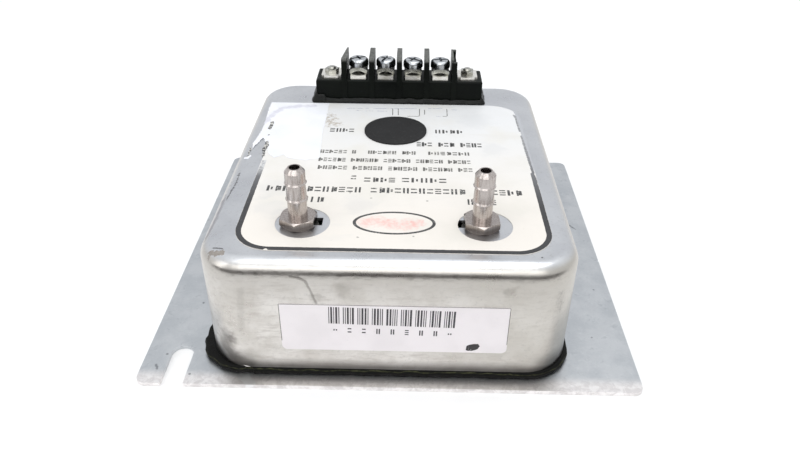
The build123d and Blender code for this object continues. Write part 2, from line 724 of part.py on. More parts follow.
def case_posts():
    bore_top = PLATE_T + BASE_SCREW_REACH + BORE_SPARE
    posts = []
    for x, y in POSTS:
        post = hex_bar(POST_AF, PLATE_T, CEILING_Z, x, y)
        posts.append(post - rod(BASE_SCREW_D, PLATE_T, bore_top, x, y))
    return posts


def capsule_screw_spots():
    spots = PolarLocations(CAPSULE_D / 2 - CAPSULE_SCREW_INSET, CAPSULE_SCREWS, start_angle=30)
    return [(CAPSULE_X + at.position.X, CAPSULE_MID_Y + at.position.Y) for at in spots]


def toward_port(port):
    """Length and heading from the capsule's centre to a port, in the plan view."""
    dx = PORTS[port] - CAPSULE_X
    dy = PORT_Y - CAPSULE_MID_Y
    return hypot(dx, dy), degrees(atan2(dy, dx))


def capsule_half(port, z_low, dish_up):
    """Turned half with a shallow dish, and a hose stub that looks at its port."""
    z_high = z_low + CAPSULE_HALF_T
    disc = rod(CAPSULE_D, z_low, z_high)
    outer_rim = disc.edges().sort_by(Axis.Z)[0 if dish_up else -1]
    disc = fillet(outer_rim, CAPSULE_EDGE_R)
    dish_z = z_high if dish_up else z_low
    floor_z = dish_z - DIAPHRAGM_DISH if dish_up else dish_z + DIAPHRAGM_DISH
    stub_z = STUB_Z[port]
    heading = toward_port(port)[1]
    sideways = Pos(0, 0, stub_z) * Rot(0, 0, heading) * Rot(0, 90, 0)
    reach = CAPSULE_D / 2 + STUB_LEN
    half = disc + sideways * rod(SPIGOT_D, CAPSULE_D / 2 - STUB_ROOT, reach)
    half -= sideways * rod(STUB_BORE_D, DROP_R, reach)
    half -= rod(DISH_D, min(dish_z, floor_z), max(dish_z, floor_z))
    blind_z = stub_z - DROP_BORE_D / 2 if dish_up else stub_z + DROP_BORE_D / 2
    drop = Rot(0, 0, heading) * rod(DROP_BORE_D, min(blind_z, dish_z), max(blind_z, dish_z), DROP_R)
    half = Pos(CAPSULE_X, CAPSULE_MID_Y, 0) * (half - drop)
    for x, y in capsule_screw_spots():
        half -= rod(CAPSULE_SCREW_D, z_low, z_high, x, y)
    return half


def sensor_lower_half():
    half = capsule_half("high", FOOT_TOP_Z, dish_up=True)
    for x, y in capsule_feet():
        half += rod(CAPSULE_FOOT_D, PLATE_T, FOOT_TOP_Z, x, y)
        half -= rod(BASE_SCREW_D, PLATE_T, PLATE_T + FOOT_SCREW_REACH + BORE_SPARE / 2, x, y)
    return half


def sensor_upper_half():
    half = capsule_half("low", UPPER_HALF_Z, dish_up=False)
    for x in pin_places():
        half += rod(2 * PIN_D, CAPSULE_TOP_Z, CAPSULE_TOP_Z + PIN_H / 2, x, CAPSULE_MID_Y)
    return half


def pin_places():
    return [CAPSULE_X - PIN_RING_D / 2, CAPSULE_X, CAPSULE_X + PIN_RING_D / 2]


def sensor_diaphragm():
    disc = rod(CAPSULE_D, DIAPHRAGM_Z, UPPER_HALF_Z, CAPSULE_X, CAPSULE_MID_Y)
    for x, y in capsule_screw_spots():
        disc -= rod(CAPSULE_SCREW_D, DIAPHRAGM_Z, UPPER_HALF_Z, x, y)
    return disc


def sensor_screws():
    screws = []
    head_z = CAPSULE_TOP_Z + CAPSULE_SCREW_HEAD_H
    for x, y in capsule_screw_spots():
        head = rod(CAPSULE_SCREW_HEAD_D, CAPSULE_TOP_Z, head_z, x, y)
        head = fillet(head.edges().sort_by(Axis.Z)[-1], CAPSULE_SCREW_HEAD_H / 3)
        head -= driver_slot(CAPSULE_SCREW_HEAD_D, head_z - DRIVER_SLOT_DEPTH, x, y)
        screws.append(head + rod(CAPSULE_SCREW_D, FOOT_TOP_Z, CAPSULE_TOP_Z, x, y))
    return screws


def hose(port):
    """From the port's spigot down, round one bend, and out over the capsule's stub."""
    reach, heading = toward_port(port)
    stub_root = CAPSULE_D / 2 + HOSE_END_GAP
    route = [
        (reach, 0, SPIGOT_TOP_Z - HOSE_END_GAP),
        (reach, 0, STUB_Z[port]),
        (stub_root, 0, STUB_Z[port]),
    ]
    tube = hose_along(route, HOSE_BEND_R, HOSE_D, SPIGOT_D)
    return Pos(CAPSULE_X, CAPSULE_MID_Y, 0) * Rot(0, 0, heading) * tube


def sensor_leads():
    leads = []
    y = CAPSULE_MID_Y
    bend_z = (CAPSULE_TOP_Z + BOARD_BOTTOM_Z) / 2
    for x in pin_places():
        route = [
            (x, y, CAPSULE_TOP_Z + PIN_H / 2),
            (x, y, bend_z - LEAD_JOG_H / 2),
            (x, y + LEAD_JOG, bend_z + LEAD_JOG_H / 2),
            (x, y + LEAD_JOG, BOARD_BOTTOM_Z),
        ]
        leads.append(hose_along(route, LEAD_BEND_R, PIN_D))
    return leads


def circuit_board():
    board = slab(BOARD_W, BOARD_D, BOARD_CORNER_R, BOARD_BOTTOM_Z, BOARD_TOP_Z, BOARD_X, BOARD_Y)
    for x, y in BOARD_HOLES:
        board -= rod(BOARD_SCREW_D, BOARD_BOTTOM_Z, BOARD_TOP_Z, x, y)
    return board


def board_standoffs():
    bars = []
    bore_top = BOARD_TOP_Z + BOARD_SCREW_REACH + BORE_SPARE
    for x, y in BOARD_HOLES:
        bar = hex_bar(BOARD_STANDOFF_AF, BOARD_TOP_Z, CEILING_Z, x, y)
        bars.append(bar - rod(BOARD_SCREW_D, BOARD_TOP_Z, bore_top, x, y))
    return bars


def board_screws():
    screws = []
    low = BOARD_BOTTOM_Z - BOARD_SCREW_HEAD_H
    for x, y in BOARD_HOLES:
        head = rod(BOARD_SCREW_HEAD_D, low, BOARD_BOTTOM_Z, x, y)
        head = fillet(head.edges().sort_by(Axis.Z)[0], BOARD_SCREW_HEAD_H / 3)
        head -= driver_slot(BOARD_SCREW_HEAD_D, low, x, y)
        screws.append(head + rod(BOARD_SCREW_D, BOARD_BOTTOM_Z, BOARD_TOP_Z + BOARD_SCREW_REACH, x, y))
    return screws


def trimmer_x(side):
    return PLUG_X + side * (TRIMMER_SIDE + TRIMMER_GAP) / 2


def trimmer(side):
    """Square trimmer body with a round well for its rotor."""
    x = trimmer_x(side)
    top = BOARD_TOP_Z + TRIMMER_H
    body = brick(TRIMMER_SIDE, TRIMMER_SIDE, BOARD_TOP_Z, top, x, PLUG_Y)
    body = chamfer(body.edges().filter_by(Axis.Z), TRIMMER_CHAMFER)
    well_d = ROTOR_D + 2 * RUNNING_GAP
    stem_d = ROTOR_STEM_D + 2 * RUNNING_GAP
    body -= rod(well_d, top - ROTOR_H - RUNNING_GAP, top, x, PLUG_Y)
    return body - rod(stem_d, top - ROTOR_H - ROTOR_STEM_LEN - 2 * RUNNING_GAP, top, x, PLUG_Y)


def rotor(side):
    top = BOARD_TOP_Z + TRIMMER_H
    seat = top - ROTOR_H
    knob = rod(ROTOR_D, seat, top)
    knob -= brick(ROTOR_D, ROTOR_SLOT_W, top - ROTOR_SLOT_DEPTH, top)
    knob += rod(ROTOR_STEM_D, seat - ROTOR_STEM_LEN, seat)
    return Pos(trimmer_x(side), PLUG_Y, 0) * knob


def chip(x, y):
    """Dual in-line package on eight legs."""
    low = BOARD_TOP_Z + CHIP_LIFT
    body = brick(CHIP_L, CHIP_W, low, low + CHIP_T)
    body -= rod(CHIP_DOT_D, low + CHIP_T - CHIP_DOT_DEPTH, low + CHIP_T, CHIP_L / -2, 0)
    leg_z = low + CHIP_T / 3
    leg_top = leg_z + CHIP_LEG_T
    for i in range(CHIP_PINS):
        pin_x = (i - (CHIP_PINS - 1) / 2) * CHIP_PIN_PITCH
        for side in (-1, 1):
            leg_y = side * (CHIP_W / 2 + CHIP_LEG_OUT)
            inner_y = side * (CHIP_W / 2 + CHIP_LEG_OUT / 2)
            body += brick(CHIP_SHOULDER_W, CHIP_LEG_OUT + CHIP_LEG_T, leg_z, leg_top, pin_x, inner_y)
            body += brick(CHIP_LEG_W, CHIP_LEG_T, BOARD_TOP_Z, leg_top, pin_x, leg_y)
    return Pos(x, y, 0) * body


def can_capacitor(x, y):
    body = rod(CAN_CAPACITOR_D, BOARD_TOP_Z, BOARD_TOP_Z + CAN_CAPACITOR_H, x, y)
    return fillet(body.edges().sort_by(Axis.Z)[-1], CAN_EDGE_R)


def film_capacitor(x, y):
    body = brick(FILM_CAPACITOR_L, FILM_CAPACITOR_W, BOARD_TOP_Z, BOARD_TOP_Z + FILM_CAPACITOR_H, x, y)
    return chamfer(body.edges().filter_by(Axis.Z), FILM_CHAMFER)


def resistor(x, y):
    """Axial resistor whose leads turn down into the board."""
    middle_z = BOARD_TOP_Z + RESISTOR_D / 2 + RESISTOR_LIFT
    half = RESISTOR_SPAN / 2
    lead = hose_along(
        [(-half, 0, BOARD_TOP_Z), (-half, 0, middle_z), (half, 0, middle_z), (half, 0, BOARD_TOP_Z)],
        RESISTOR_LEAD_R,
        RESISTOR_LEAD_D,
    )
    body = Pos(0, 0, middle_z) * Rot(0, 90, 0) * Cylinder(RESISTOR_D / 2, RESISTOR_L)
    body = fillet(body.edges().filter_by(GeomType.CIRCLE), RESISTOR_EDGE_R)
    return Pos(x, y, 0) * (lead + body)


def terminal_wire(x):
    """From the eye of a terminal's tail over to the back edge of the board."""
    pad_y = BOARD_Y + BOARD_D / 2 - WIRE_PAD_INSET
    tail_front = TAIL_Y - TAIL_T / 2 - WIRE_D / 2
    run_z = (TAIL_END_Z + BOARD_TOP_Z) / 2
    route = [
        (x, tail_front, TAIL_END_Z + EYE_UP),
        (x, tail_front, run_z),
        (x, pad_y, run_z),
        (x, pad_y, BOARD_TOP_Z),
    ]
    return hose_along(route, WIRE_BEND_R, WIRE_D)


def write_outside():
    save("base_plate", base_plate())
    save("base_gasket", base_gasket())
    save("case", case())
    save("face_label", face_label())
    save("front_sticker", front_sticker())
    save("torn_sticker", torn_sticker())
    save("hole_plug", hole_plug())
    save("low_port_fitting", port_fitting("low"))
    save("high_port_fitting", port_fitting("high"))


def write_terminal_strip():
    save("terminal_block", terminal_block())
    for i, x in enumerate(TERMINAL_X):
        save(f"terminal_plate_{i + 1}", terminal_plate(x))
        save(f"terminal_clamp_{i + 1}", terminal_clamp(x, CLAMP_RISES[i]))
        save(f"terminal_screw_{i + 1}", terminal_screw(x, CLAMP_RISES[i], SCREW_TURNS[i]))
    save("end_plates", *[end_plate(x) for x in END_X])
    save("strip_bolts", *[strip_bolt(x) for x in END_X])
    save("strip_nuts", *[strip_nut(x, turn) for x, turn in zip(END_X, STRIP_NUT_TURNS)])
    save("strip_sealant", strip_sealant())


def write_inside():
    for port in PORTS:
        save(f"{port}_port_washer", port_washer(port))
        save(f"{port}_port_nut", port_nut(port))
        save(f"{port}_hose", hose(port))
    save("case_posts", *case_posts())
    save("base_screws", *[flush_screw(x, y, BASE_SCREW_D, BASE_SCREW_REACH) for x, y in POSTS])
    save("capsule_screws", *[flush_screw(x, y, BASE_SCREW_D, FOOT_SCREW_REACH) for x, y in capsule_feet()])
    save("sensor_lower_half", sensor_lower_half())
    save("sensor_diaphragm", sensor_diaphragm())
    save("sensor_upper_half", sensor_upper_half())
    save("sensor_screws", *sensor_screws())
    save("sensor_leads", *sensor_leads())


def write_electronics():
    save("circuit_board", circuit_board())
    save("board_standoffs", *board_standoffs())
    save("board_screws", *board_screws())
    for name, side in (("zero", -1), ("span", 1)):
        save(f"{name}_trimmer", trimmer(side))
        save(f"{name}_rotor", rotor(side))
    save("integrated_circuits", *[chip(BOARD_X + x, BOARD_Y + y) for x, y in CHIP_SPOTS])
    cans = [can_capacitor(BOARD_X + x, BOARD_Y + y) for x, y in CAN_SPOTS]
    films = [film_capacitor(BOARD_X + x, BOARD_Y + y) for x, y in FILM_SPOTS]
    save("capacitors", *cans, *films)
    row_x = BOARD_X + BOARD_W / 2 - RESISTOR_FROM_RIGHT
    row_y = BOARD_Y - BOARD_D / 2 + RESISTOR_FROM_FRONT
    save("resistors", *[resistor(row_x, row_y + i * RESISTOR_PITCH) for i in range(RESISTORS)])
    save("terminal_wires", *[terminal_wire(x) for x in TERMINAL_X])


write_outside()
write_terminal_strip()
write_inside()
write_electronics()
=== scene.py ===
"""Looks of a differential pressure transmitter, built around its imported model.

Lengths are in millimetres unless a name says otherwise, and turn into metres where a mesh is made.
"""

import math
import random

import bpy
from mathutils import Matrix, Vector, noise


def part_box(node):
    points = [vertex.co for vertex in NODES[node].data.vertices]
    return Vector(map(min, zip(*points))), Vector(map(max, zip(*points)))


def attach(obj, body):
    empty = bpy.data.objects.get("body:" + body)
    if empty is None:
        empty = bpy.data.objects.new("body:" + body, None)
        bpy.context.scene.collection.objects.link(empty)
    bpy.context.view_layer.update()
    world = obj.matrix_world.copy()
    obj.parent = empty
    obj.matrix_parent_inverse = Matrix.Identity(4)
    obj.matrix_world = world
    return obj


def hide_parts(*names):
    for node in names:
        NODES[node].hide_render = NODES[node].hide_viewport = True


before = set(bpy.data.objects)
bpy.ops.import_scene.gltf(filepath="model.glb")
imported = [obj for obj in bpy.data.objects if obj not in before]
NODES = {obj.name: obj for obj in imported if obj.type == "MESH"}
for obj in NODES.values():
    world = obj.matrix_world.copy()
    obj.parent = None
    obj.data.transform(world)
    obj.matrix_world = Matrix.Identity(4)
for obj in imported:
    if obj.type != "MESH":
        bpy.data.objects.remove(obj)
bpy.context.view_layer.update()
MM = 0.001

# Camera, solved from the corners of the plate, the case and the label
FOCAL_PX = 716.66
FRAME_W_PX = 800
SENSOR_MM = 36.0
CAMERA_AT = (4.84, -196.69, 140.45)
CAMERA_PITCH = 0.5824
CAMERA_ROLL = 0.0093
CAMERA_YAW = -0.016


def box_mm(node):
    """Lowest and highest corner of a node, in millimetres."""
    low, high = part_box(node)
    return low / MM, high / MM


PLATE_HIGH = box_mm("base_plate")[1]
GASKET_LOW, GASKET_HIGH = box_mm("base_gasket")
CASE_LOW, CASE_HIGH = box_mm("case")
LABEL_LOW, LABEL_HIGH = box_mm("face_label")
STICKER_LOW, STICKER_HIGH = box_mm("front_sticker")
TORN_HIGH = box_mm("torn_sticker")[1]
STRIP_LOW, STRIP_HIGH = box_mm("terminal_block")
TOP_Z = CASE_HIGH.z
PRINT_T = 0.03
POLES = 4

# The screen colour curve
SRGB_KNEE = 0.04045
SRGB_SLOPE = 12.92
SRGB_OFFSET = 0.055
SRGB_POWER = 2.4


def tint(red, green, blue):
    """A screen colour, 0 to 255 a channel, as scene-linear light."""

    def linear(value):
        share = value / 255
        if share <= SRGB_KNEE:
            return share / SRGB_SLOPE
        return ((share + SRGB_OFFSET) / (1 + SRGB_OFFSET)) ** SRGB_POWER

    return (linear(red), linear(green), linear(blue), 1.0)


def wobble(x, y, z=0.0, size=1.0):
    """Smooth noise from -1 to 1 whose lumps are about size across. Each z is a pattern of its own."""
    return noise.noise(Vector((x / size, y / size, z / size)))


# Sockets of the colour mix node
MIX_SHARE = 0
MIX_A = 6
MIX_B = 7
MIX_RESULT = 2

COAT_ROUGHNESS = 0.2


def set_sockets(node, values):
    for socket, value in values.items():
        node.inputs[socket].default_value = value


class Finish:
    """One material. Its patterns are measured in millimetres of the object's own space."""

    def __init__(self, name, rough=0.5, metal=0.0, specular=0.5, coat=0.0):
        self.material = bpy.data.materials.new(name)
        self.material.use_nodes = True
        self.tree = self.material.node_tree
        self.shader = self.tree.nodes["Principled BSDF"]
        looks = {"Roughness": rough, "Metallic": metal, "Specular IOR Level": specular}
        looks.update({"Coat Weight": coat, "Coat Roughness": COAT_ROUGHNESS})
        set_sockets(self.shader, looks)
        coords = self.add("ShaderNodeTexCoord").outputs["Object"]
        self.place = self.vector("SCALE", coords, scale=1 / MM)
        parts = self.add("ShaderNodeSeparateXYZ")
        self.join(self.place, parts.inputs[0])
        self.x, self.y, self.z = parts.outputs

    def add(self, kind, **settings):
        node = self.tree.nodes.new(kind)
        for key, value in settings.items():
            setattr(node, key, value)
        return node

    def join(self, value, socket):
        if isinstance(value, bpy.types.NodeSocket):
            self.tree.links.new(value, socket)
        else:
            socket.default_value = value

    def vector(self, operation, a, b=None, scale=None):
        node = self.add("ShaderNodeVectorMath", operation=operation)
        self.join(a, node.inputs[0])
        if b is not None:
            self.join(b, node.inputs[1])
        if scale is not None:
            self.join(scale, node.inputs["Scale"])
        return node.outputs["Value" if operation in ("LENGTH", "DOT_PRODUCT") else "Vector"]

    def sum(self, operation, a, b=0.0, clamp=False):
        node = self.add("ShaderNodeMath", operation=operation, use_clamp=clamp)
        self.join(a, node.inputs[0])
        self.join(b, node.inputs[1])
        return node.outputs[0]

    def span(self, value, low, high, to_low=0.0, to_high=1.0):
        """Eases from to_low to to_high while value goes from low to high."""
        node = self.add("ShaderNodeMapRange", interpolation_type="SMOOTHSTEP")
        for socket, number in zip(node.inputs, (value, low, high, to_low, to_high)):
            self.join(number, socket)
        return node.outputs[0]

    def lumps(self, size, detail=3.0, rough=0.5, stretch=(1, 1, 1), warp=0.0):
        """Noise from 0 to 1 with lumps of about size millimetres."""
        place = self.place
        if stretch != (1, 1, 1):
            place = self.vector("MULTIPLY", place, stretch)
        node = self.add("ShaderNodeTexNoise")
        self.join(place, node.inputs["Vector"])
        set_sockets(node, {"Scale": 1 / size, "Detail": detail, "Roughness": rough, "Distortion": warp})
        return node.outputs[0]

    def blend(self, share, a, b):
        node = self.add("ShaderNodeMix", data_type="RGBA")
        self.join(share, node.inputs[MIX_SHARE])
        self.join(a, node.inputs[MIX_A])
        self.join(b, node.inputs[MIX_B])
        return node.outputs[MIX_RESULT]

    def mottle(self, noise, low, high, colour, other):
        """Two screen colours, the first below low and the second above high."""
        return self.blend(self.span(noise, low, high), tint(*colour), tint(*other))

    def fleck(self, base, noise, low, high, share, colour):
        """Lays a screen colour over base where noise goes from low to high, up to share."""
        return self.blend(self.span(noise, low, high, 0.0, share), base, tint(*colour))

    def stain(self, base, mask, share, colour):
        """Lays a screen colour over base where mask is 1, as strong as share."""
        return self.blend(self.times(mask, share), base, tint(*colour))

    def times(self, a, b):
        return self.sum("MULTIPLY", a, b, clamp=True)

    def either(self, *masks):
        total = masks[0]
        for mask in masks[1:]:
            total = self.sum("MAXIMUM", total, mask)
        return total

    def patch(self, distance, reach, soft, ragged, ragged_size):
        """1 where distance is under reach, fading over soft, with an edge shaken by ragged."""
        if ragged:
            shake = self.span(self.lumps(ragged_size), 0.25, 0.75, -ragged, ragged)
            distance = self.sum("ADD", distance, shake)
        return self.span(distance, reach, reach + soft, 1.0, 0.0)

    def line(self, points, half_width, soft=0.4, ragged=0.0, ragged_size=0.8):
        """1 along a run of points, with an edge that fades and may be ragged."""
        distance = None
        for start, end in zip(points, points[1:]):
            start, end = Vector(start), Vector(end)
            run = end - start
            from_start = self.vector("SUBTRACT", self.place, tuple(start))
            along = self.vector("DOT_PRODUCT", from_start, tuple(run / run.length_squared))
            along = self.sum("MULTIPLY", along, 1.0, clamp=True)
            nearest = self.vector("SCALE", tuple(run), scale=along)
            gap = self.vector("LENGTH", self.vector("SUBTRACT", from_start, nearest))
            distance = gap if distance is None else self.sum("MINIMUM", distance, gap)
        return self.patch(distance, half_width, soft, ragged, ragged_size)

    def spot(self, at, radius, soft=0.6, ragged=0.0, ragged_size=0.8):
        """1 inside a round patch, with an edge that fades and may be ragged."""
        distance = self.vector("LENGTH", self.vector("SUBTRACT", self.place, at))
        return self.patch(distance, radius, soft, ragged, ragged_size)

    def colour(self, value):
        self.join(value, self.shader.inputs["Base Color"])

    def roughness(self, value):
        self.join(value, self.shader.inputs["Roughness"])

    def dull(self, dirt_and_shade):
        """Where dirt_and_shade is 1 the surface stops being metal."""
        self.join(self.sum("SUBTRACT", 1.0, dirt_and_shade, clamp=True), self.shader.inputs["Metallic"])

    def relief(self, height, depth, strength=1.0):
        """Bump whose height socket runs from 0 to 1 over depth millimetres."""
        node = self.add("ShaderNodeBump")
        set_sockets(node, {"Strength": strength, "Distance": depth * MM})
        self.join(height, node.inputs["Height"])
        previous = self.shader.inputs["Normal"]
        if previous.is_linked:
            self.join(previous.links[0].from_socket, node.inputs["Normal"])
        self.join(node.outputs[0], self.shader.inputs["Normal"])


# Case: bare drawn aluminium, warm in front, with its dents and stains; bluish above as a painted reflection,
# with painted shade, dark reflections and a highlight
FRONT_Y = CASE_LOW.y


def below_top(*points):
    """Points given as X, Y and how far they lie under the case top."""
    return [(x, y, TOP_Z - drop) for x, y, drop in points]


def on_wall(*points):
    """Points of the front wall, given as X and Z."""
    return [(x, FRONT_Y, z) for x, z in points]


CHIP = below_top((-45.6, -55.0, 1.4), (-44.2, -53.4, 0.3), (-42.6, -54.0, 0.2), (-41.4, -54.0, 0))
CHIP_RIM = below_top((-45.2, -53.0, 0.2), (-44.0, -52.0, 0), (-41.6, -52.3, 0))
# A real dent; its line is painted dark as its shade
SIDE_DENT = below_top(
    (-47.5, -47.7, 0.9), (-46.9, -43.0, 0.7), (-46.6, -37.3, 0.5), (-46.5, -31.2, 0.4), (-46.9, -25.6, 0.6)
)
# Painted shade on the dent's slope, between its line and the case's left edge
SIDE_DENT_SLOPE_SHADE = below_top((-47.3, -45.0, 0.9), (-47.0, -37.0, 0.8), (-47.0, -29.0, 0.8))
SIDE_SCUFF = below_top((-45.2, -14.0, 0), (-45.0, -20.0, 0), (-45.9, -30.0, 0))
CORNER_SCUFF = [(-48.2, -49.6, 24.2), (-47.9, -49.9, 21.0), (-47.5, -50.2, 19.4)]
CORNER_EDGE = [(-48.0, -49.8, 33.0), (-48.1, -49.8, 28.0), (-48.1, -49.7, 24.0)]
FRONT_SCRATCH = on_wall((-24.0, 33.9), (-22.4, 33.6), (-20.6, 32.8), (-19.4, 30.0), (-18.1, 25.8))
FRONT_STREAK = on_wall((-36.7, 29.5), (-37.9, 16.5))
# A painted dark reflection of the gasket and plate down the near left corner's curve
CORNER_DARK_REFLECTION = [(-42.2, -56.6, 12.8), (-42.4, -56.4, 8.8), (-40.4, -57.6, 5.6), (-37.4, -58.6, 4.6)]
TOP_DOTS = [(-45.6, -15.3), (-47.0, -47.5), (-33.1, 41.9), (-45.2, -50.6), (37.5, -53.6)]
TOP_DOT_R = 0.16
RIGHT_SMEAR = [(43.1, -56.8, 28.5), (43.4, -56.6, 23.5)]
FRONT_SMUDGES = [
    ((-11.1, FRONT_Y, 30.0), 3.0),
    ((-17.5, FRONT_Y, 27.5), 1.5),
    ((30.5, FRONT_Y, 30.5), 2.0),
    ((-41.0, -57.3, 12.5), 1.2),
]
RIM_GLINT = on_wall((-39.3, 4.0), (-37.0, 3.4))
# Painted shade fades between each pair of distances: from the rim, the front and the two sides
RIM_SHADE_TOP = 11.0
CORNER_SHADE_UP = 1.2
SHADE_FROM_FRONT = (26, 4)
SHADE_FROM_LEFT = (19, 6)
SHADE_FROM_RIGHT = (15, 4)
RIM_SHADE_UP = (0.3, 4.2)
CORNER_SHADE = 0.75
RIM_SHADE = 0.88
# The painted dark reflection under the front bend lies between these heights
BEND_LOW = (32.9, 33.9)
BEND_HIGH = (35.7, 34.9)
BEND_FROM_FRONT = (3.2, 1.4)
# What is laid over the bare metal, in turn: which mark, how strong, and its colour. The stain and bend marks
# are painted dark reflections, the dented line and its slope carry painted shade, and the glint is a painted
# highlight.
CASE_STAINS_AND_PAINTED_LIGHT = [
    ("scratch", 0.5, (104, 100, 95)),
    ("streak", 0.22, (140, 137, 132)),
    ("stain", 0.5, (66, 63, 60)),
    ("bend", 0.45, (92, 82, 78)),
    ("dent_slope_shade", 0.35, (168, 164, 172)),
    ("dent_and_shade", 0.5, (104, 102, 108)),
    ("rubs", 0.75, (76, 74, 76)),
    ("dots", 0.8, (60, 58, 58)),
    ("smear", 0.4, (110, 106, 102)),
    ("glint", 1.0, (244, 240, 236)),
]


def case_rim_shade(made):
    """Painted shade along the rim, darkest round the two near corners: a painted reflection of the black
    gasket.
    """
    low = made.span(made.z, CASE_LOW.z + CORNER_SHADE_UP, RIM_SHADE_TOP, 1.0, 0.0)
    near = made.span(made.y, *[FRONT_Y + inward for inward in SHADE_FROM_FRONT])
    left = made.span(made.x, *[CASE_LOW.x + inward for inward in SHADE_FROM_LEFT])
    right = made.span(made.x, *[CASE_HIGH.x - inward for inward in SHADE_FROM_RIGHT])
    corners = made.times(made.times(made.either(left, right), near), low)
    rim = made.span(made.z, *[CASE_LOW.z + up for up in RIM_SHADE_UP], 1.0, 0.0)
    return made.either(made.times(corners, CORNER_SHADE), made.times(rim, RIM_SHADE))


def bend_reflection(made):
    """A painted dark reflection just under the front bend, in specks, on the front only."""
    front = made.span(made.y, *[FRONT_Y + inward for inward in BEND_FROM_FRONT])
    band = made.times(made.span(made.z, *BEND_LOW), made.span(made.z, *BEND_HIGH))
    fleck = made.span(made.lumps(0.9, detail=4, rough=0.7, stretch=(0.35, 1, 1)), 0.46, 0.62)
    patchy = made.span(made.lumps(7, detail=2), 0.35, 0.65, 0.3, 1.0)
    return made.times(made.times(made.times(front, band), fleck), patchy)


def case_marks(made, grain):
    """Where each mark on the case lies, by name, painted shade, dark reflections and a highlight among them.
    """
    marks = {
        "scratch": made.line(FRONT_SCRATCH, 0.12, soft=0.4, ragged=0.12),
        "streak": made.line(FRONT_STREAK, 0.3, soft=1.0, ragged=0.2),
        "dent_and_shade": made.line(SIDE_DENT, 0.1, soft=0.8, ragged=0.3, ragged_size=3.0),
        "dent_slope_shade": made.line(SIDE_DENT_SLOPE_SHADE, 0.6, soft=0.8),
        "corner": made.line(CORNER_SCUFF, 0.8, soft=0.4, ragged=0.5),
        "edge": made.line(CORNER_EDGE, 0.15, soft=0.3),
        "chip": made.line(CHIP, 0.7, soft=0.25, ragged=0.5),
        # The stain mark here is a painted dark reflection down the near left corner
        "stain": made.line(CORNER_DARK_REFLECTION, 0.6, soft=3.2, ragged=0.5, ragged_size=2.5),
        "glint": made.line(RIM_GLINT, 0.1, soft=0.15),
        "bend": bend_reflection(made),
    }
    scuff = made.line(SIDE_SCUFF, 0.05, soft=0.35, ragged=0.2)
    rim = made.line(CHIP_RIM, 0.1, soft=0.2, ragged=0.15)
    marks["rubs"] = made.either(scuff, marks["corner"], marks["edge"], rim)
    smear = made.line(RIGHT_SMEAR, 0.5, soft=1.2, ragged=0.5)
    marks["smear"] = made.times(smear, made.span(grain, 0.4, 0.6))
    marks["dots"] = made.either(*[made.spot((x, y, TOP_Z), TOP_DOT_R, soft=0.2) for x, y in TOP_DOTS])
    return marks


def case_tone_and_shade(made, cloud, grain):
    """The bare metal without its marks, with a bluish painted reflection on top and painted shade darkening
    the walls towards their top and towards the right.
    """
    brushed = made.lumps(1.1, detail=5, rough=0.7, stretch=(0.2, 1, 1))
    above = made.span(made.z, TOP_Z - 1.6, TOP_Z - 0.1)
    side = made.mottle(cloud, 0.34, 0.66, (204, 200, 194), (228, 225, 221))
    side = made.fleck(side, brushed, 0.46, 0.7, 0.5, (180, 174, 168))
    # Painted shade: the walls darken towards their top
    side = made.blend(made.span(made.z, 35.0, 20.0, 0.6, 0.0), side, tint(178, 174, 168))
    # Painted shade: the walls darken towards the right
    side = made.fleck(side, made.x, 5.0, 46.0, 0.6, (185, 181, 173))
    # Painted reflection: the top is bluish, mirroring the sky
    top = made.mottle(cloud, 0.3, 0.7, (206, 208, 212), (216, 218, 221))
    base = made.blend(above, side, top)
    return made.fleck(base, grain, 0.52, 0.74, 0.36, (158, 157, 155))


def case_finish():
    made = Finish("case_aluminium", metal=1.0)
    cloud = made.lumps(13, detail=4, rough=0.62)
    grain = made.lumps(0.9, detail=5, rough=0.75)
    marks = case_marks(made, grain)
    base = case_tone_and_shade(made, cloud, grain)
    for at, radius in FRONT_SMUDGES:
        smudge = made.spot(at, radius * 0.3, soft=radius, ragged=1.2, ragged_size=2.5)
        base = made.stain(base, smudge, 0.3, (126, 120, 114))
    # Painted shade: a dark band along the rim and round the near corners, for the gasket's reflection
    base = made.blend(case_rim_shade(made), base, tint(44, 43, 42))
    for name, share, colour in CASE_STAINS_AND_PAINTED_LIGHT:
        base = made.stain(base, marks[name], share, colour)
    torn_metal = made.blend(made.lumps(0.9, detail=3), tint(118, 112, 106), tint(172, 166, 160))
    made.colour(made.blend(marks["chip"], base, torn_metal))
    # The case is dulled where it is dirty and chipped, and under the dent's painted shade
    dirt_and_shade = [made.times(marks["dent_and_shade"], 0.4), made.times(marks["chip"], 0.6)]
    made.dull(made.either(marks["corner"], marks["edge"], marks["smear"], *dirt_and_shade))
    worn = made.either(marks["chip"], marks["stain"], marks["dent_and_shade"])
    made.roughness(made.sum("ADD", made.span(cloud, 0.3, 0.75, 0.27, 0.36), made.times(worn, 0.3)))
    made.relief(made.lumps(0.45, detail=4, rough=0.7), 0.008)
    made.relief(made.lumps(0.35, detail=3, stretch=(0.06, 1, 1)), 0.003)
    made.relief(made.lumps(6, detail=3), 0.05)
    made.relief(made.either(marks["chip"], marks["dent_and_shade"], marks["scratch"]), 0.12, strength=0.6)
    return made.material


# Base plate: zinc plated sheet, mottled, with rubs and a few specks, and painted reflections of the case
# along its front
PLATE_SPECKS = [(-61.5, -52.2), (-53.3, -59.6), (-62.9, -57.0), (62.5, -20.0), (57.5, -42.0), (-57.0, -30.0)]
PLATE_RUBS = [[(-63.3, -56.5), (-62.5, -58.0)], [(-55.0, 8.0), (-52.6, 3.0)], [(59.0, 20.0), (63.0, 14.0)]]
PLATE_BRIGHT_REFLECTION = [(-38.9, -59.9), (-36.6, -62.3)]


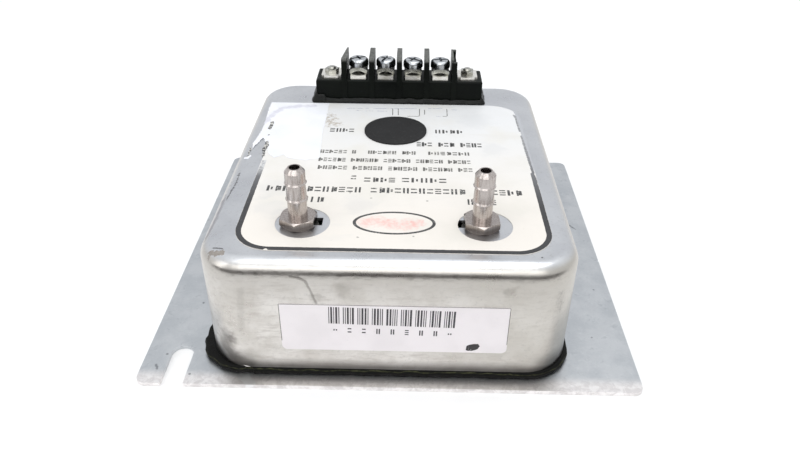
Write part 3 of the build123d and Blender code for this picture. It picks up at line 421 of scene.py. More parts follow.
def plate_finish():
    made = Finish("zinc_plate", metal=1.0)
    cloud = made.lumps(11, detail=5, rough=0.7)
    patch = made.lumps(2.6, detail=5, rough=0.7, warp=0.4)
    grain = made.lumps(0.8, detail=3)
    base = made.mottle(cloud, 0.36, 0.64, (193, 197, 201), (206, 209, 212))
    base = made.fleck(base, patch, 0.55, 0.75, 0.6, (166, 171, 176))
    base = made.fleck(base, grain, 0.55, 0.8, 0.3, (224, 227, 229))
    # Painted reflection: the plate's strip in front of the case is lighter and warm where it mirrors the
    # case's front wall
    rubbed = made.span(made.y, FRONT_Y + 1.5, FRONT_Y - 2.5)
    warm = made.mottle(patch, 0.4, 0.6, (250, 247, 246), (227, 223, 222))
    base = made.blend(made.times(rubbed, 0.95), base, warm)
    dark = [made.spot((x, y, PLATE_HIGH.z), 0.18, soft=0.3, ragged=0.1) for x, y in PLATE_SPECKS]
    rubs = [made.line([(*p, PLATE_HIGH.z) for p in rub], 0.05, soft=0.4, ragged=0.2) for rub in PLATE_RUBS]
    # Painted reflection: a bright patch in front of the case's near left corner
    bright = made.line([(*p, PLATE_HIGH.z) for p in PLATE_BRIGHT_REFLECTION], 0.9, soft=0.9, ragged=0.5)
    base = made.stain(base, made.either(*dark, *rubs), 0.6, (92, 96, 100))
    made.colour(made.blend(bright, base, tint(240, 240, 240)))
    made.roughness(made.span(patch, 0.3, 0.7, 0.33, 0.42))
    made.relief(made.lumps(0.5, detail=4, rough=0.75), 0.01)
    made.relief(made.lumps(5, detail=3), 0.012)
    return made.material


# Label film: warm white, aged unevenly, stained by the old tape's glue
STAIN = [(-22.6, 25.6, LABEL_HIGH.z), (-21.0, 19.4, LABEL_HIGH.z)]
SMEARS = [
    ((30.5, 3.0), 4.5), ((26.0, 24.0), 6.0), ((-27.0, -36.0), 4.0),
    ((-9.0, -31.0), 5.0), ((-33.5, -23.0), 5.5), ((-33.5, -33.0), 5.0),
]
LABEL_SPECKS = [
    (-5.9, -27.2), (9.6, -28.2), (-27.2, -17.0), (-8.3, -46.5),
    (5.9, -45.6), (-12.0, -24.5), (26.0, -47.0),
]
RUB_SLANT = 0.025
RUB_IN = 0.75
RUB_SOFT = 0.15
RUB_FROM_Y = (-12, -8)
PINK_SPOTS = [
    ((-6.3, -39.3), 2.6), ((-3.0, -39.0), 2.6), ((0.6, -39.8), 2.4),
    ((4.6, -40.1), 3.0), ((7.2, -39.4), 1.8),
]


def label_rub(made):
    """The far part of the label's right edge, where the film is rubbed away."""
    slant = made.sum("ADD", made.x, made.sum("MULTIPLY", made.y, RUB_SLANT))
    slant = made.sum("ADD", slant, made.span(made.lumps(1.4, detail=3), 0.3, 0.7, -0.3, 0.3))
    edge = LABEL_HIGH.x - RUB_IN
    return made.times(made.span(slant, edge - RUB_SOFT, edge + RUB_SOFT), made.span(made.y, *RUB_FROM_Y))


def label_finish():
    made = Finish("label_film", rough=0.42, specular=0.4, coat=0.15)
    age = made.lumps(18, detail=4, rough=0.6)
    fleck = made.lumps(1.1, detail=4, rough=0.7)
    wipe = made.lumps(6, detail=3, stretch=(0.25, 1, 1), warp=0.8)
    near = made.span(made.y, 30, -45)
    base = made.blend(near, tint(219, 220, 221), tint(225, 220, 213))
    base = made.fleck(base, age, 0.42, 0.72, 0.6, (214, 211, 203))
    base = made.fleck(base, wipe, 0.55, 0.8, 0.35, (212, 210, 206))
    base = made.fleck(base, fleck, 0.63, 0.76, 0.35, (190, 186, 176))
    brown = made.line(STAIN, 0.6, soft=2.6, ragged=1.2, ragged_size=1.6)
    brown = made.times(brown, made.span(fleck, 0.42, 0.58))
    base = made.stain(base, brown, 0.7, (150, 134, 112))
    for (x, y), radius in SMEARS:
        smear = made.spot((x, y, LABEL_HIGH.z), radius * 0.4, soft=radius, ragged=1.5, ragged_size=3)
        base = made.stain(base, smear, 0.22, (186, 188, 190))
    specks = [made.spot((x, y, LABEL_HIGH.z), 0.18, soft=0.25, ragged=0.1) for x, y in LABEL_SPECKS]
    base = made.stain(base, made.either(*specks), 0.6, (110, 108, 104))
    for (x, y), radius in PINK_SPOTS:
        pink = made.spot((x, y, LABEL_HIGH.z), radius * 0.3, soft=radius, ragged=0.8, ragged_size=1.6)
        pink = made.times(pink, made.span(fleck, 0.36, 0.6, 0.35, 1.0))
        base = made.stain(base, pink, 0.5, (228, 158, 150))
    made.colour(made.stain(base, label_rub(made), 0.92, (166, 169, 174)))
    made.relief(made.lumps(3, detail=2), 0.01)
    return made.material


INK_FADE = 14


def ink_finish(name, dark, worn_from, worn_to, pale=(214, 212, 206)):
    """Printed ink that has rubbed through to the film in flecks."""
    made = Finish(name, rough=0.45, specular=0.4)
    fleck = made.lumps(0.7, detail=4, rough=0.65)
    faded = [value + INK_FADE for value in dark]
    tone = made.blend(made.span(made.lumps(3.5), 0.3, 0.7), tint(*dark), tint(*faded))
    made.colour(made.blend(made.span(fleck, worn_from, worn_to), tone, tint(*pale)))
    return made.material


def border_finish():
    """The label's border: nearly black in front, rubbed grey towards the far side."""
    made = Finish("border_ink", rough=0.45, specular=0.4)
    fleck = made.lumps(0.8, detail=4, rough=0.7)
    far = made.span(made.y, -34, 2)
    tone = made.blend(far, tint(54, 54, 56), tint(124, 125, 128))
    tone = made.fleck(tone, fleck, 0.62, 0.74, 0.8, (150, 151, 154))
    rubbed = made.times(made.span(fleck, 0.46, 0.56), made.span(made.y, -20, 24, 0.0, 0.4))
    left_end = made.times(made.span(made.x, 0, -1), made.span(made.y, -17, -8))
    rubbed = made.either(rubbed, made.times(left_end, made.span(fleck, 0.56, 0.44, 0.45, 1.0)))
    made.colour(made.blend(rubbed, tone, tint(206, 207, 208)))
    return made.material


PAPER_ROUGH = 0.5
PAPER_SPECULAR = 0.35


def paper_finish(name, light, shade):
    made = Finish(name, rough=PAPER_ROUGH, specular=PAPER_SPECULAR)
    cloud = made.lumps(9, detail=3)
    fibre = made.lumps(0.5, detail=3)
    base = made.mottle(cloud, 0.35, 0.7, light, shade)
    made.colour(made.fleck(base, fibre, 0.66, 0.8, 0.15, (150, 146, 140)))
    made.relief(fibre, 0.004)
    return made.material


CREASE = [(-43.6, 20.5), (-42.6, 26.0), (-39.6, 31.6), (-35.1, 33.2), (-29.0, 33.6)]


def torn_finish():
    """What is left of the older sticker, wrinkled along its corner, with painted shade in the wrinkle."""
    made = Finish("torn_paper", rough=PAPER_ROUGH, specular=PAPER_SPECULAR)
    cloud = made.lumps(9, detail=3)
    base = made.mottle(cloud, 0.35, 0.7, (228, 229, 233), (222, 224, 229))
    crease_and_shade = made.line([(x, y, TORN_HIGH.z) for x, y in CREASE], 0.2, soft=1.4, ragged=0.6, ragged_size=2.0)
    # Painted shade: the wrinkle is darkened lavender-grey
    made.colour(made.stain(base, crease_and_shade, 0.55, (186, 185, 200)))
    made.relief(crease_and_shade, 0.1)
    return made.material


METAL_SPREAD = 0.08
MOULDED_SPREAD = 0.07


def metal_finish(name, light, dark, rough, size, relief, grime):
    """Bare or plated metal with uneven tone, and grime where it collects."""
    made = Finish(name, metal=1.0)
    cloud = made.lumps(size * 3, detail=4, rough=0.6)
    grain = made.lumps(size, detail=4, rough=0.65)
    base = made.mottle(cloud, 0.35, 0.68, light, dark)
    made.colour(made.fleck(base, grain, 0.6, 0.8, grime, [value * 0.5 for value in dark]))
    made.roughness(made.span(grain, 0.3, 0.75, rough - METAL_SPREAD, rough + METAL_SPREAD))
    made.relief(made.lumps(size * 0.4, detail=3), relief)
    return made.material


def fitting_finish():
    """Barbed fittings: nickelled brass, drawn lengthways, with painted shade round the hexagon's foot."""
    made = Finish("nickel_brass", metal=1.0)
    streak = made.lumps(0.5, detail=4, rough=0.65, stretch=(1, 1, 0.1))
    cloud = made.lumps(2.2, detail=4, rough=0.6)
    base = made.mottle(streak, 0.35, 0.68, (197, 190, 186), (170, 161, 156))
    base = made.fleck(base, cloud, 0.55, 0.75, 0.22, (126, 112, 104))
    # Painted shade: the hexagon darkens towards its foot on the label
    foot = made.span(made.z, LABEL_HIGH.z + 3.0, LABEL_HIGH.z + 0.8)
    made.colour(made.stain(base, foot, 0.85, (90, 81, 75)))
    made.roughness(made.span(cloud, 0.3, 0.7, 0.2, 0.28))
    made.relief(streak, 0.001)
    return made.material


SCREW_HEAD_H = 2.5
SCREW_HEAD_R = 1.2


def screw_finish(node):
    """Terminal screws: bright heads with painted shade down the flank and under them."""
    made = Finish("screw_metal", metal=1.0)
    seat = box_mm(node)[1].z - SCREW_HEAD_H
    grain = made.lumps(1.2, detail=4, rough=0.65)
    base = made.mottle(grain, 0.35, 0.68, (206, 209, 212), (172, 175, 178))
    base = made.fleck(base, grain, 0.6, 0.8, 0.6, (84, 86, 88))
    # Painted shade: darker down the head's flank and dark below its seat
    base = made.fleck(base, made.z, seat + SCREW_HEAD_R, seat, 0.6, (92, 93, 94))
    made.colour(made.fleck(base, made.z, seat, seat - 0.1, 1.0, (52, 51, 48)))
    made.roughness(made.span(grain, 0.3, 0.75, 0.16, 0.3))
    made.relief(made.lumps(0.5, detail=3), 0.012)
    return made.material


def moulded_finish(name, light, dark, rough=0.45, size=3.0, relief=0.01, specular=0.5, dust=0.0):
    """Moulded or cast plastic and rubber."""
    made = Finish(name, specular=specular)
    cloud = made.lumps(size, detail=4, rough=0.6)
    grain = made.lumps(size * 0.15, detail=3)
    base = made.mottle(cloud, 0.35, 0.7, light, dark)
    if dust:
        base = made.fleck(base, grain, 0.58, 0.78, dust, (150, 152, 148))
    made.colour(base)
    made.roughness(made.span(cloud, 0.3, 0.7, rough - MOULDED_SPREAD, rough + MOULDED_SPREAD))
    made.relief(grain, relief)
    return made.material


SEAM_Z = GASKET_LOW.z + 1.7
SEAM_HALF = 0.22


def foam_finish():
    """Gasket foam in two layers: black, with a dusty seam between them."""
    made = Finish("foam", specular=0.14)
    cloud = made.lumps(1.6, detail=4, rough=0.6)
    grain = made.lumps(0.3, detail=3)
    level = made.sum("ADD", made.z, made.span(made.lumps(5), 0.3, 0.7, -0.25, 0.25))
    under, over = SEAM_Z - SEAM_HALF, SEAM_Z + SEAM_HALF
    seam = made.times(made.span(level, under, SEAM_Z), made.span(level, over, SEAM_Z))
    base = made.mottle(cloud, 0.35, 0.7, (6, 6, 5), (13, 13, 10))
    dusty = made.times(seam, made.span(cloud, 0.4, 0.6, 0.2, 0.8))
    made.colour(made.blend(dusty, base, tint(74, 76, 52)))
    made.roughness(made.span(cloud, 0.3, 0.7, 0.5, 0.66))
    made.relief(grain, 0.14)
    return made.material


def phenolic_finish():
    """Terminal block: dark moulding whose barrier tops are lighter grey, rubbed and with a painted sheen."""
    made = Finish("phenolic", specular=0.1)
    cloud = made.lumps(5, detail=4, rough=0.6)
    grain = made.lumps(0.6, detail=4, rough=0.7)
    base = made.mottle(cloud, 0.35, 0.7, (6, 9, 7), (12, 16, 12))
    # The barrier tops are lighter grey: rubbed wear and a painted sheen
    high = made.span(made.z, STRIP_HIGH.z - 1.3, STRIP_HIGH.z - 0.3)
    rubbed = made.times(high, made.span(grain, 0.35, 0.6, 0.4, 1.0))
    base = made.stain(base, rubbed, 0.85, (112, 113, 110))
    made.colour(made.fleck(base, grain, 0.68, 0.82, 0.3, (70, 74, 70)))
    made.roughness(made.span(cloud, 0.3, 0.7, 0.35, 0.5))
    made.relief(grain, 0.02)
    return made.material


def wear(material, *nodes):
    for node in nodes:
        mesh = NODES[node].data
        mesh.materials.clear()
        mesh.materials.append(material)


# Flat and raised meshes
def on_top(z):
    return lambda u, v, h: (u, v, z + h)


def on_front(y):
    return lambda u, v, h: (u, y - h, v)


def add_mesh(name, points, faces, material, smooth=False, body="root"):
    """A piece from millimetre points. It rides on a body and takes a slot's finish."""
    mesh = bpy.data.meshes.new(name)
    mesh.from_pydata([Vector(p) * MM for p in points], [], faces)
    mesh.materials.append(material)
    if smooth:
        mesh.shade_smooth()
    mesh.update()
    piece = bpy.data.objects.new(name, mesh)
    bpy.context.scene.collection.objects.link(piece)
    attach(piece, body)
    return piece


def print_piece(name, outlines, place, material, thick=PRINT_T):
    """Thin closed plates, one for each outline of (u, v) on a face."""
    points, faces = [], []
    for outline in outlines:
        area = sum(a[0] * b[1] - b[0] * a[1] for a, b in zip(outline, outline[1:] + outline[:1]))
        loop = outline if area > 0 else outline[::-1]
        start, count = len(points), len(loop)
        points += [place(u, v, 0.0) for u, v in loop] + [place(u, v, thick) for u, v in loop]
        faces.append([start + i for i in reversed(range(count))])
        faces.append([start + count + i for i in range(count)])
        for i in range(count):
            after = (i + 1) % count
            faces.append([start + i, start + after, start + count + after, start + count + i])
    return add_mesh(name, points, faces, material)


# Corners of a square about its middle, anticlockwise
SQUARE = ((-1, -1), (1, -1), (1, 1), (-1, 1))


def bar(u, v, width, height):
    return [(u + side * width / 2, v + end * height / 2) for side, end in SQUARE]


def corner_path(low, high, radius, step):
    """Places round a box with rounded corners as (x, y, outward x, outward y), anticlockwise."""
    width, depth = high.x - low.x, high.y - low.y
    centre = (low + high) / 2
    places = []
    turns = [(1, -1, -90), (1, 1, 0), (-1, 1, 90), (-1, -1, 180)]
    for sx, sy, start in turns:
        cx = centre.x + sx * (width / 2 - radius)
        cy = centre.y + sy * (depth / 2 - radius)
        steps = max(3, round(radius * math.pi / 2 / step))
        for i in range(steps + 1):
            angle = math.radians(start + 90 * i / steps)
            out_x, out_y = math.cos(angle), math.sin(angle)
            places.append((cx + radius * out_x, cy + radius * out_y, out_x, out_y))
        run = (depth if sx * sy < 0 else width) - 2 * radius
        last_x, last_y, out_x, out_y = places[-1]
        for i in range(1, max(2, round(run / step))):
            moved = run * i / max(2, round(run / step))
            places.append((last_x - out_y * moved, last_y + out_x * moved, out_x, out_y))
    return places


def ring_mesh(name, path, section, material):
    """A closed ring whose section at each place is a loop of (outward, up) points."""
    points, faces = [], []
    loops = [section(*place) for place in path]
    count = len(loops[0])
    for (x, y, out_x, out_y), loop in zip(path, loops):
        points += [(x + out_x * out, y + out_y * out, up) for out, up in loop]
    total = len(path)
    for i in range(total):
        here, after = i * count, (i + 1) % total * count
        for j in range(count):
            k = (j + 1) % count
            faces.append([here + j, here + k, after + k, after + j][::-1])
    return add_mesh(name, points, faces, material, smooth=True)


# Gasket: black foam, squeezed out unevenly and set back near the front left corner
CASE_CORNER_R = 12.0
GASKET_LEFT_OUT = 2.75
GASKET_RIGHT_OUT = 1.3
GASKET_FRONT_OUT = 0.4
GASKET_STEP_X = -36.0
GASKET_STEP_IN = 0.5
GASKET_IN = 4.2
FRAYED_AT = (-46, -52)
FRAYED_R = 16


def gasket_section(x, y, out_x, out_y):
    base, top = GASKET_LOW.z + 0.01, GASKET_HIGH.z - 0.01
    side_out = GASKET_LEFT_OUT if x < 0 else GASKET_RIGHT_OUT
    lip = GASKET_FRONT_OUT + (side_out - GASKET_FRONT_OUT) * abs(out_x) ** 1.3
    if y < 0 and x < GASKET_STEP_X:
        lip -= GASKET_STEP_IN * abs(out_y) ** 3
    near_left = max(0.0, 1 - math.hypot(x - FRAYED_AT[0], y - FRAYED_AT[1]) / FRAYED_R)
    lip += 0.22 * wobble(x, y, size=2.2) + near_left * (0.5 + 0.7 * wobble(x, y, 4.0, 1.6))
    lip = max(lip, 0.1)
    low_out = lip + 0.12 * wobble(x, y, 9.0, 1.3)
    tall = top - base
    sag = 0.18 * wobble(x, y, 20.0, 3.0)
    return [
        (-GASKET_IN, base),
        (low_out - 0.35, base),
        (low_out, base + 0.22 * tall),
        (lip + 0.08, base + 0.5 * tall),
        (lip - 0.1, base + 0.78 * tall + sag),
        (lip - 0.5, top - 0.05),
        (min(0.0, lip - 0.6), top),
        (-GASKET_IN, top),
    ]


def add_gasket(material):
    path = corner_path(CASE_LOW, CASE_HIGH, CASE_CORNER_R, 0.6)
    piece = ring_mesh("gasket_foam", path, gasket_section, material)
    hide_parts("base_gasket")


# Sealant: a hand-laid bead, widest at the strip's ends
BEAD_WALL_GAP = 0.02
BEAD_LEFT_RUN = 3


def bead_section(x, y, out_x, out_y):
    low = TOP_Z + 0.01
    width = 0.75 + 0.75 * abs(out_x) ** 2 + 0.3 * wobble(x, y, 3.0, 2.4)
    width += 0.16 * wobble(x, y, 8.0, 0.8)
    tall = 1.5 + 0.9 * abs(out_x) + 0.5 * wobble(x, y, 30.0, 3.4) + 0.2 * wobble(x, y, 60.0, 0.9)
    if x < STRIP_LOW.x + BEAD_LEFT_RUN:
        width += 0.25
        tall += 1.2
    width = max(width, 0.35)
    tall = max(tall, 0.7)
    return [
        (BEAD_WALL_GAP - 0.3, low),
        (width, low),
        (width * 0.93, low + 0.18 * tall),
        (width * 0.62, low + 0.45 * tall),
        (width * 0.3, low + 0.8 * tall),
        (BEAD_WALL_GAP + 0.05, low + tall),
        (BEAD_WALL_GAP - 0.3, low + tall),
    ]


def add_bead(material):
    path = corner_path(STRIP_LOW, STRIP_HIGH, 0.5, 0.45)
    piece = ring_mesh("sealant_bead", path, bead_section, material)
    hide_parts("strip_sealant")


# Border printed along the label's edge
LABEL_CORNER_R = 10.0
BORDER_W = 1.45
BORDER_CUT = 0.05
BORDER_FAR_LEFT_Y = -6.0
BORDER_FAR_RIGHT_Y = -11.5
THIN_FAR_Y = 30.0
FRONT_CHIP_X = -30.7
CORNER_GAP = (-39.65, -43.7)


def border_edges(x, y):
    """How far in from the label's edge the border starts and ends here, or None where it is gone."""
    right = x > 0
    end = BORDER_FAR_RIGHT_Y if right else BORDER_FAR_LEFT_Y
    if math.hypot(x - CORNER_GAP[0], y - CORNER_GAP[1]) < 0.35:
        return None
    outer = BORDER_CUT + 0.05 * wobble(x, y, 0, 0.9)
    inner = BORDER_W + 0.06 * wobble(x, y, 5, 0.7)
    if y < -50 and abs(x - FRONT_CHIP_X) < 0.55:
        outer = 0.65
    if y > end:
        if not right or y > THIN_FAR_Y or wobble(x, y, 7, 1.1) < -0.6:
            return None
        fade = (y - end) / (THIN_FAR_Y - end)
        drift = 0.25 + RUB_SLANT * (y - end)
        outer = drift + 0.15 * wobble(x, y, 3, 1.3)
        inner = drift + 0.75 - 0.2 * fade + 0.15 * wobble(x, y, 4, 0.9)
    elif y > end - 12:
        outer += 0.3 * (y - end + 12) / 12 * (0.5 + wobble(x, y, 2, 1.0))
    return (outer, inner) if inner - outer > 0.12 else None


def border_outlines():
    path = corner_path(LABEL_LOW, LABEL_HIGH, LABEL_CORNER_R, 0.45)
    far = max(range(len(path)), key=lambda i: path[i][1] - abs(path[i][0]) * 0.01)
    path = path[far:] + path[:far]
    outlines, run = [], []
    for x, y, out_x, out_y in path + [path[0]]:
        edges = border_edges(x, y)
        if edges and y < LABEL_HIGH.y - 4:
            run.append([(x - out_x * e, y - out_y * e) for e in edges])
        else:
            if len(run) > 1:
                outlines.append([a for a, _ in run] + [b for _, b in reversed(run)])
            run = []
    return outlines


# Printed rows of small bars and dashes, each as (left, right, Y, height, number of marks)
ROW_TILT = math.radians(-0.4)
TITLE = (-35.9, 36.4, -22.9, 2.9, 32)
LARGE_ROWS = [(2.1, 15.5, -16.9, 2.6, 5), (-8.8, 0.7, -17.0, 2.6, 4), (-12.6, -10.7, -15.8, 2.4, 1)]
SMALL_ROWS = [
    (-22.8, 23.3, -10.15, 2.2, 31),
    (-23.1, 23.0, -5.25, 2.2, 33),
    (-23.2, -12.0, 0.1, 2.1, 8),
    (-8.5, 6.4, 0.0, 2.1, 10),
    (10.0, 23.0, -0.1, 2.1, 7),
]
BOLD_ROW = (6.4, 27.2, 5.9, 2.8, 12)
SIDE_ROWS = [(12.3, 21.7, 15.2, 2.6, 4), (-21.9, -13.6, 15.2, 2.6, 4)]
PORT_ROWS = [(20.4, 28.7, -28.4, 2.8, 4), (-27.4, -18.4, -28.4, 2.8, 3)]


def glyph(kind, u, v, width, height, stroke):
    """One of a few plain marks: upright bars, level dashes or short stubs."""
    if kind == 0:
        return [bar(u + side * width * 0.32, v, stroke, height) for side in (-1, 1)]
    if kind == 1:
        return [bar(u, v + side * height * 0.32, width, stroke * 1.1) for side in (-1, 1)]
    if kind == 2:
        return [bar(u, v + side * height * 0.4, width, stroke * 0.9) for side in (-1, 0, 1)]
    if kind == 3:
        return [bar(u - width * 0.3, v, stroke * 1.3, height), bar(u + width * 0.3, v, stroke, height * 0.5)]
    return [bar(u - width * 0.2, v, stroke, height), bar(u + width * 0.25, v, stroke * 1.6, height * 0.8)]


def row_outlines(row, seed, stroke, gap_every):
    """One printed row, with a gap after every few marks."""
    left, right, v, height, count = row
    draw = random.Random(seed)
    pitch = (right - left) / count
    outlines = []
    kind = None
    for i in range(count):
        if gap_every and i % gap_every == gap_every - 1 and i < count - 1:
            continue
        u = left + pitch * (i + 0.5)
        drop = (u - (left + right) / 2) * math.tan(ROW_TILT)
        kind = draw.choice([other for other in range(5) if other != kind])
        outlines += glyph(kind, u, v + drop, pitch * 0.76, height, stroke)
    return outlines


def rows(lines, seed, stroke, gap_every=7):
    outlines = []
    for i, line in enumerate(lines):
        outlines += row_outlines(line, seed + i, stroke, gap_every)
    return outlines


OVAL = (0.8, -39.5)
OVAL_W = 21.8
OVAL_D = 10.9
OVAL_LINE = 0.85
OVAL_STEPS = 40


def oval_outlines():
    """The printed oval: a thin ring in two halves."""
    outlines = []
    for start in (0, 180):
        angles = [math.radians(start + 180 * i / OVAL_STEPS) for i in range(OVAL_STEPS + 1)]
        outer = [(OVAL[0] + OVAL_W / 2 * math.cos(a), OVAL[1] + OVAL_D / 2 * math.sin(a)) for a in angles]
        half_w, half_d = OVAL_W / 2 - OVAL_LINE, OVAL_D / 2 - OVAL_LINE * 0.8
        inner = [(OVAL[0] + half_w * math.cos(a), OVAL[1] + half_d * math.sin(a)) for a in angles]
        outlines.append(outer + inner[::-1])
    return outlines


def stroke_outline(points, width):
    """A run of (u, v) points as one thin outline."""
    left, right = [], []
    for i, (u, v) in enumerate(points):
        before, after = points[max(i - 1, 0)], points[min(i + 1, len(points) - 1)]
        du, dv = after[0] - before[0], after[1] - before[1]
        length = math.hypot(du, dv)
        left.append((u - dv / length * width / 2, v + du / length * width / 2))
        right.append((u + dv / length * width / 2, v - du / length * width / 2))
    return left + right[::-1]


def arc_points(u, v, radius, start, end, steps=6):
    angles = [math.radians(start + (end - start) * i / steps) for i in range(steps + 1)]
    return [(u + radius * math.cos(a), v + radius * math.sin(a)) for a in angles]


# Thin ruled lines between the plug and the strip
RULE_W = 0.24
RULES = [
    [(-1.7, 32.6), (-1.6, 27.4)],
    [(0.2, 32.6), (0.3, 27.5)],
    [(7.55, 32.8)] + arc_points(6.85, 27.4, 0.7, 0, -90) + [(3.4, 26.65)],
    [(9.3, 32.2), (9.3, 28.3)],
    [(17.0, 33.0)] + arc_points(16.2, 27.7, 0.75, 0, -80) + [(15.4, 27.0)],
]
FAINT_RULES = [
    [(-17.5, 32.3), (-9.6, 32.6)],
    [(-8.4, 32.6), (6.6, 32.9)],
    [(10.6, 33.3), (15.6, 33.5)],
    [(13.2, 26.9), (14.9, 26.9)],
    [(-14.6, 30.6), (-12.2, 30.6)],
    [(-10.9, 30.4), (-8.4, 30.4)],
    [(-7.0, 30.5), (-3.6, 30.4)],
    [(18.6, 32.6), (20.4, 32.4)],
]

# Torn sticker: what is left of an older one, over the label's far left corner
TORN_OUTLINE = [
    (-44.3, 36.2), (-24.0, 36.3), (-23.9, 14.5), (-23.1, -0.2), (-22.8, -4.4), (-26.9, -5.9),
    (-32.2, -4.7), (-34.2, -2.6), (-36.6, -4.8), (-38.9, -2.0), (-39.7, 1.6), (-40.9, 5.4),
    (-42.3, 8.5), (-43.0, 6.4), (-43.9, 3.3), (-44.2, 1.2), (-44.9, 4.7), (-44.2, 9.8),
    (-43.7, 15.2), (-44.0, 24.0), (-44.4, 31.0),
]
TORN_STEP = 0.6
TORN_SHAKE = 0.35
TORN_THIN = 0.1
SCRAP_STEP = 0.3


def ragged(outline, step, amount, straight_above=math.inf):
    """The outline in short steps, with its torn edges shaken."""
    points = []
    for (ax, ay), (bx, by) in zip(outline, outline[1:] + outline[:1]):
        length = math.hypot(bx - ax, by - ay)
        count = max(1, round(length / step))
        for i in range(count):
            u, v = ax + (bx - ax) * i / count, ay + (by - ay) * i / count
            shake = 0.0 if v > straight_above else amount
            points.append((u + shake * wobble(u, v, 1.0, 0.9), v + shake * wobble(u, v, 11.0, 0.9)))
    return points


# Fragments of old print that show at the tear, and a curl of torn film on the case beside it
FRAGMENTS = [
    [(-41.2, 0.2), (-40.2, -0.4), (-39.6, 3.0), (-40.2, 6.4), (-41.0, 6.2), (-41.0, 3.6)],
    [(-42.0, 15.0), (-41.0, 14.7), (-40.6, 18.0), (-41.1, 20.9), (-41.9, 20.6), (-41.8, 18.0)],
    [(-41.1, 10.2), (-40.5, 10.4), (-40.6, 11.0), (-41.1, 10.9)],
    [(-40.4, -4.0), (-39.8, -3.4), (-39.9, -1.6), (-40.5, -0.8), (-40.8, -1.6)],
]
CURL = [(-45.3, 2.0), (-44.7, 0.6), (-45.1, -1.2), (-44.5, -3.0), (-45.2, -4.4)]
CURL_W = 0.4
CURL_T = 0.12
SCRAP = [(-45.7, -5.6), (-44.4, -5.4), (-43.8, -3.4), (-44.4, -2.6), (-44.9, -3.8), (-45.6, -4.4)]
SCRAP_T = 0.1

# Front sticker: a barcode of plain stripes and a row of small marks under it
CODE_LEFT, CODE_RIGHT = -15.2, 17.7
CODE_HIGH, CODE_LOW = 24.4, 19.0
CODE_TILT = math.radians(-1.4)
CODE_GROUPS = 9
CODE_SIZES = (0.2, 0.24, 0.46, 0.2, 0.5)
MARKS_Z = 16.9
MARKS_H = 1.7
MARKS_W = 0.95
MARKS_STROKE = 0.34
END_MARK_H = 0.5
SMUDGE = [
    (20.0, 11.2), (20.1, 12.7), (21.0, 13.1), (23.1, 13.4),
    (23.5, 12.7), (23.1, 11.6), (21.6, 11.0), (20.6, 10.9),
]
STICKER_INK_T = 0.02
# Seeds of the chance patterns
TITLE_SEED = 11
LARGE_SEED = 20
SMALL_SEED = 40
BOLD_SEED = 60
WORDS_SEED = 70
STRIPES_SEED = 3
MARKS_SEED = 8


STICKER_EDGE_W = 0.16
STICKER_EDGE_FROM = 3


def sticker_edges():
    """The thin dark line drawn round three sides of the front sticker."""
    inset = STICKER_EDGE_W / 2
    left, right = STICKER_LOW.x + inset, STICKER_HIGH.x - inset
    low, high = STICKER_LOW.z + STICKER_EDGE_FROM, STICKER_HIGH.z - inset
    sides = [[(x, low), (x, high - inset)] for x in (left, right)]
    return [sides[0], [(left, high), (right, high)], sides[1]]


def tilted(u, v):
    """Turns a point of the barcode about its middle."""
    cu, cv = (CODE_LEFT + CODE_RIGHT) / 2, (CODE_HIGH + CODE_LOW) / 2
    du, dv = u - cu, v - cv
    cos, sin = math.cos(CODE_TILT), math.sin(CODE_TILT)
    return (cu + du * cos - dv * sin, cv + du * sin + dv * cos)


def barcode_outlines():
    draw = random.Random(STRIPES_SEED)
    pitch = (CODE_RIGHT - CODE_LEFT) / CODE_GROUPS
    middle, tall = (CODE_HIGH + CODE_LOW) / 2, CODE_HIGH - CODE_LOW
    outlines = []
    for group in range(CODE_GROUPS):
        sizes = list(CODE_SIZES)
        draw.shuffle(sizes)
        free = pitch * 0.84 - sum(sizes)
        u = CODE_LEFT + group * pitch
        for size in sizes:
            outlines.append([tilted(*p) for p in bar(u + size / 2, middle, size, tall)])
            u += size + free / len(sizes)
    return outlines


def mark_outlines():
    draw = random.Random(MARKS_SEED)
    pitch = (CODE_RIGHT - CODE_LEFT) / CODE_GROUPS
    outlines = []
    for group in range(CODE_GROUPS):
        u = CODE_LEFT + (group + 0.45) * pitch
        tall = END_MARK_H if group in (0, CODE_GROUPS - 1) else MARKS_H
        for outline in glyph(draw.randrange(3), u, MARKS_Z, MARKS_W, tall, MARKS_STROKE):
            outlines.append([tilted(*p) for p in outline])
    return outlines


# Lights, cards and floor, all in metres, and the camera
def softbox(name, at, aim, width, depth, radiance):
    light = bpy.data.lights.new(name, "AREA")
    light.shape = "RECTANGLE"
    light.size, light.size_y = width, depth
    light.energy = radiance * math.pi * width * depth
    lamp = bpy.data.objects.new(name, light)
    lamp.location = at
    lamp.rotation_euler = (Vector(aim) - Vector(at)).to_track_quat("-Z", "Y").to_euler()
    bpy.context.scene.collection.objects.link(lamp)


def stage_sheet(name, corners, looks, seen=True):
    """A four-cornered sheet of the stage. One that isn't seen shows in reflections alone."""
    mesh = bpy.data.meshes.new(name)
    mesh.from_pydata(corners, [], [(0, 1, 2, 3)])
    material = bpy.data.materials.new(name)
    material.use_nodes = True
    set_sockets(material.node_tree.nodes["Principled BSDF"], looks)
    mesh.materials.append(material)
    sheet = bpy.data.objects.new(name, mesh)
    sheet.visible_camera = seen
    sheet.visible_shadow = seen
    bpy.context.scene.collection.objects.link(sheet)
    return sheet


def card(name, low, high, colour):
    """An upright card that glows in one colour."""
    (x0, y0, z0), (x1, y1, z1) = low, high
    corners = [(x0, y0, z0), (x1, y0, z0), (x1, y1, z1), (x0, y1, z1)]
    looks = {"Base Color": (0, 0, 0, 1), "Specular IOR Level": 0}
    looks.update({"Emission Color": colour, "Emission Strength": 1.0})
    board = stage_sheet(name, corners, looks, seen=False)


FLOOR_HALF = 3.0
FLOOR_DROP = 0.02 * MM


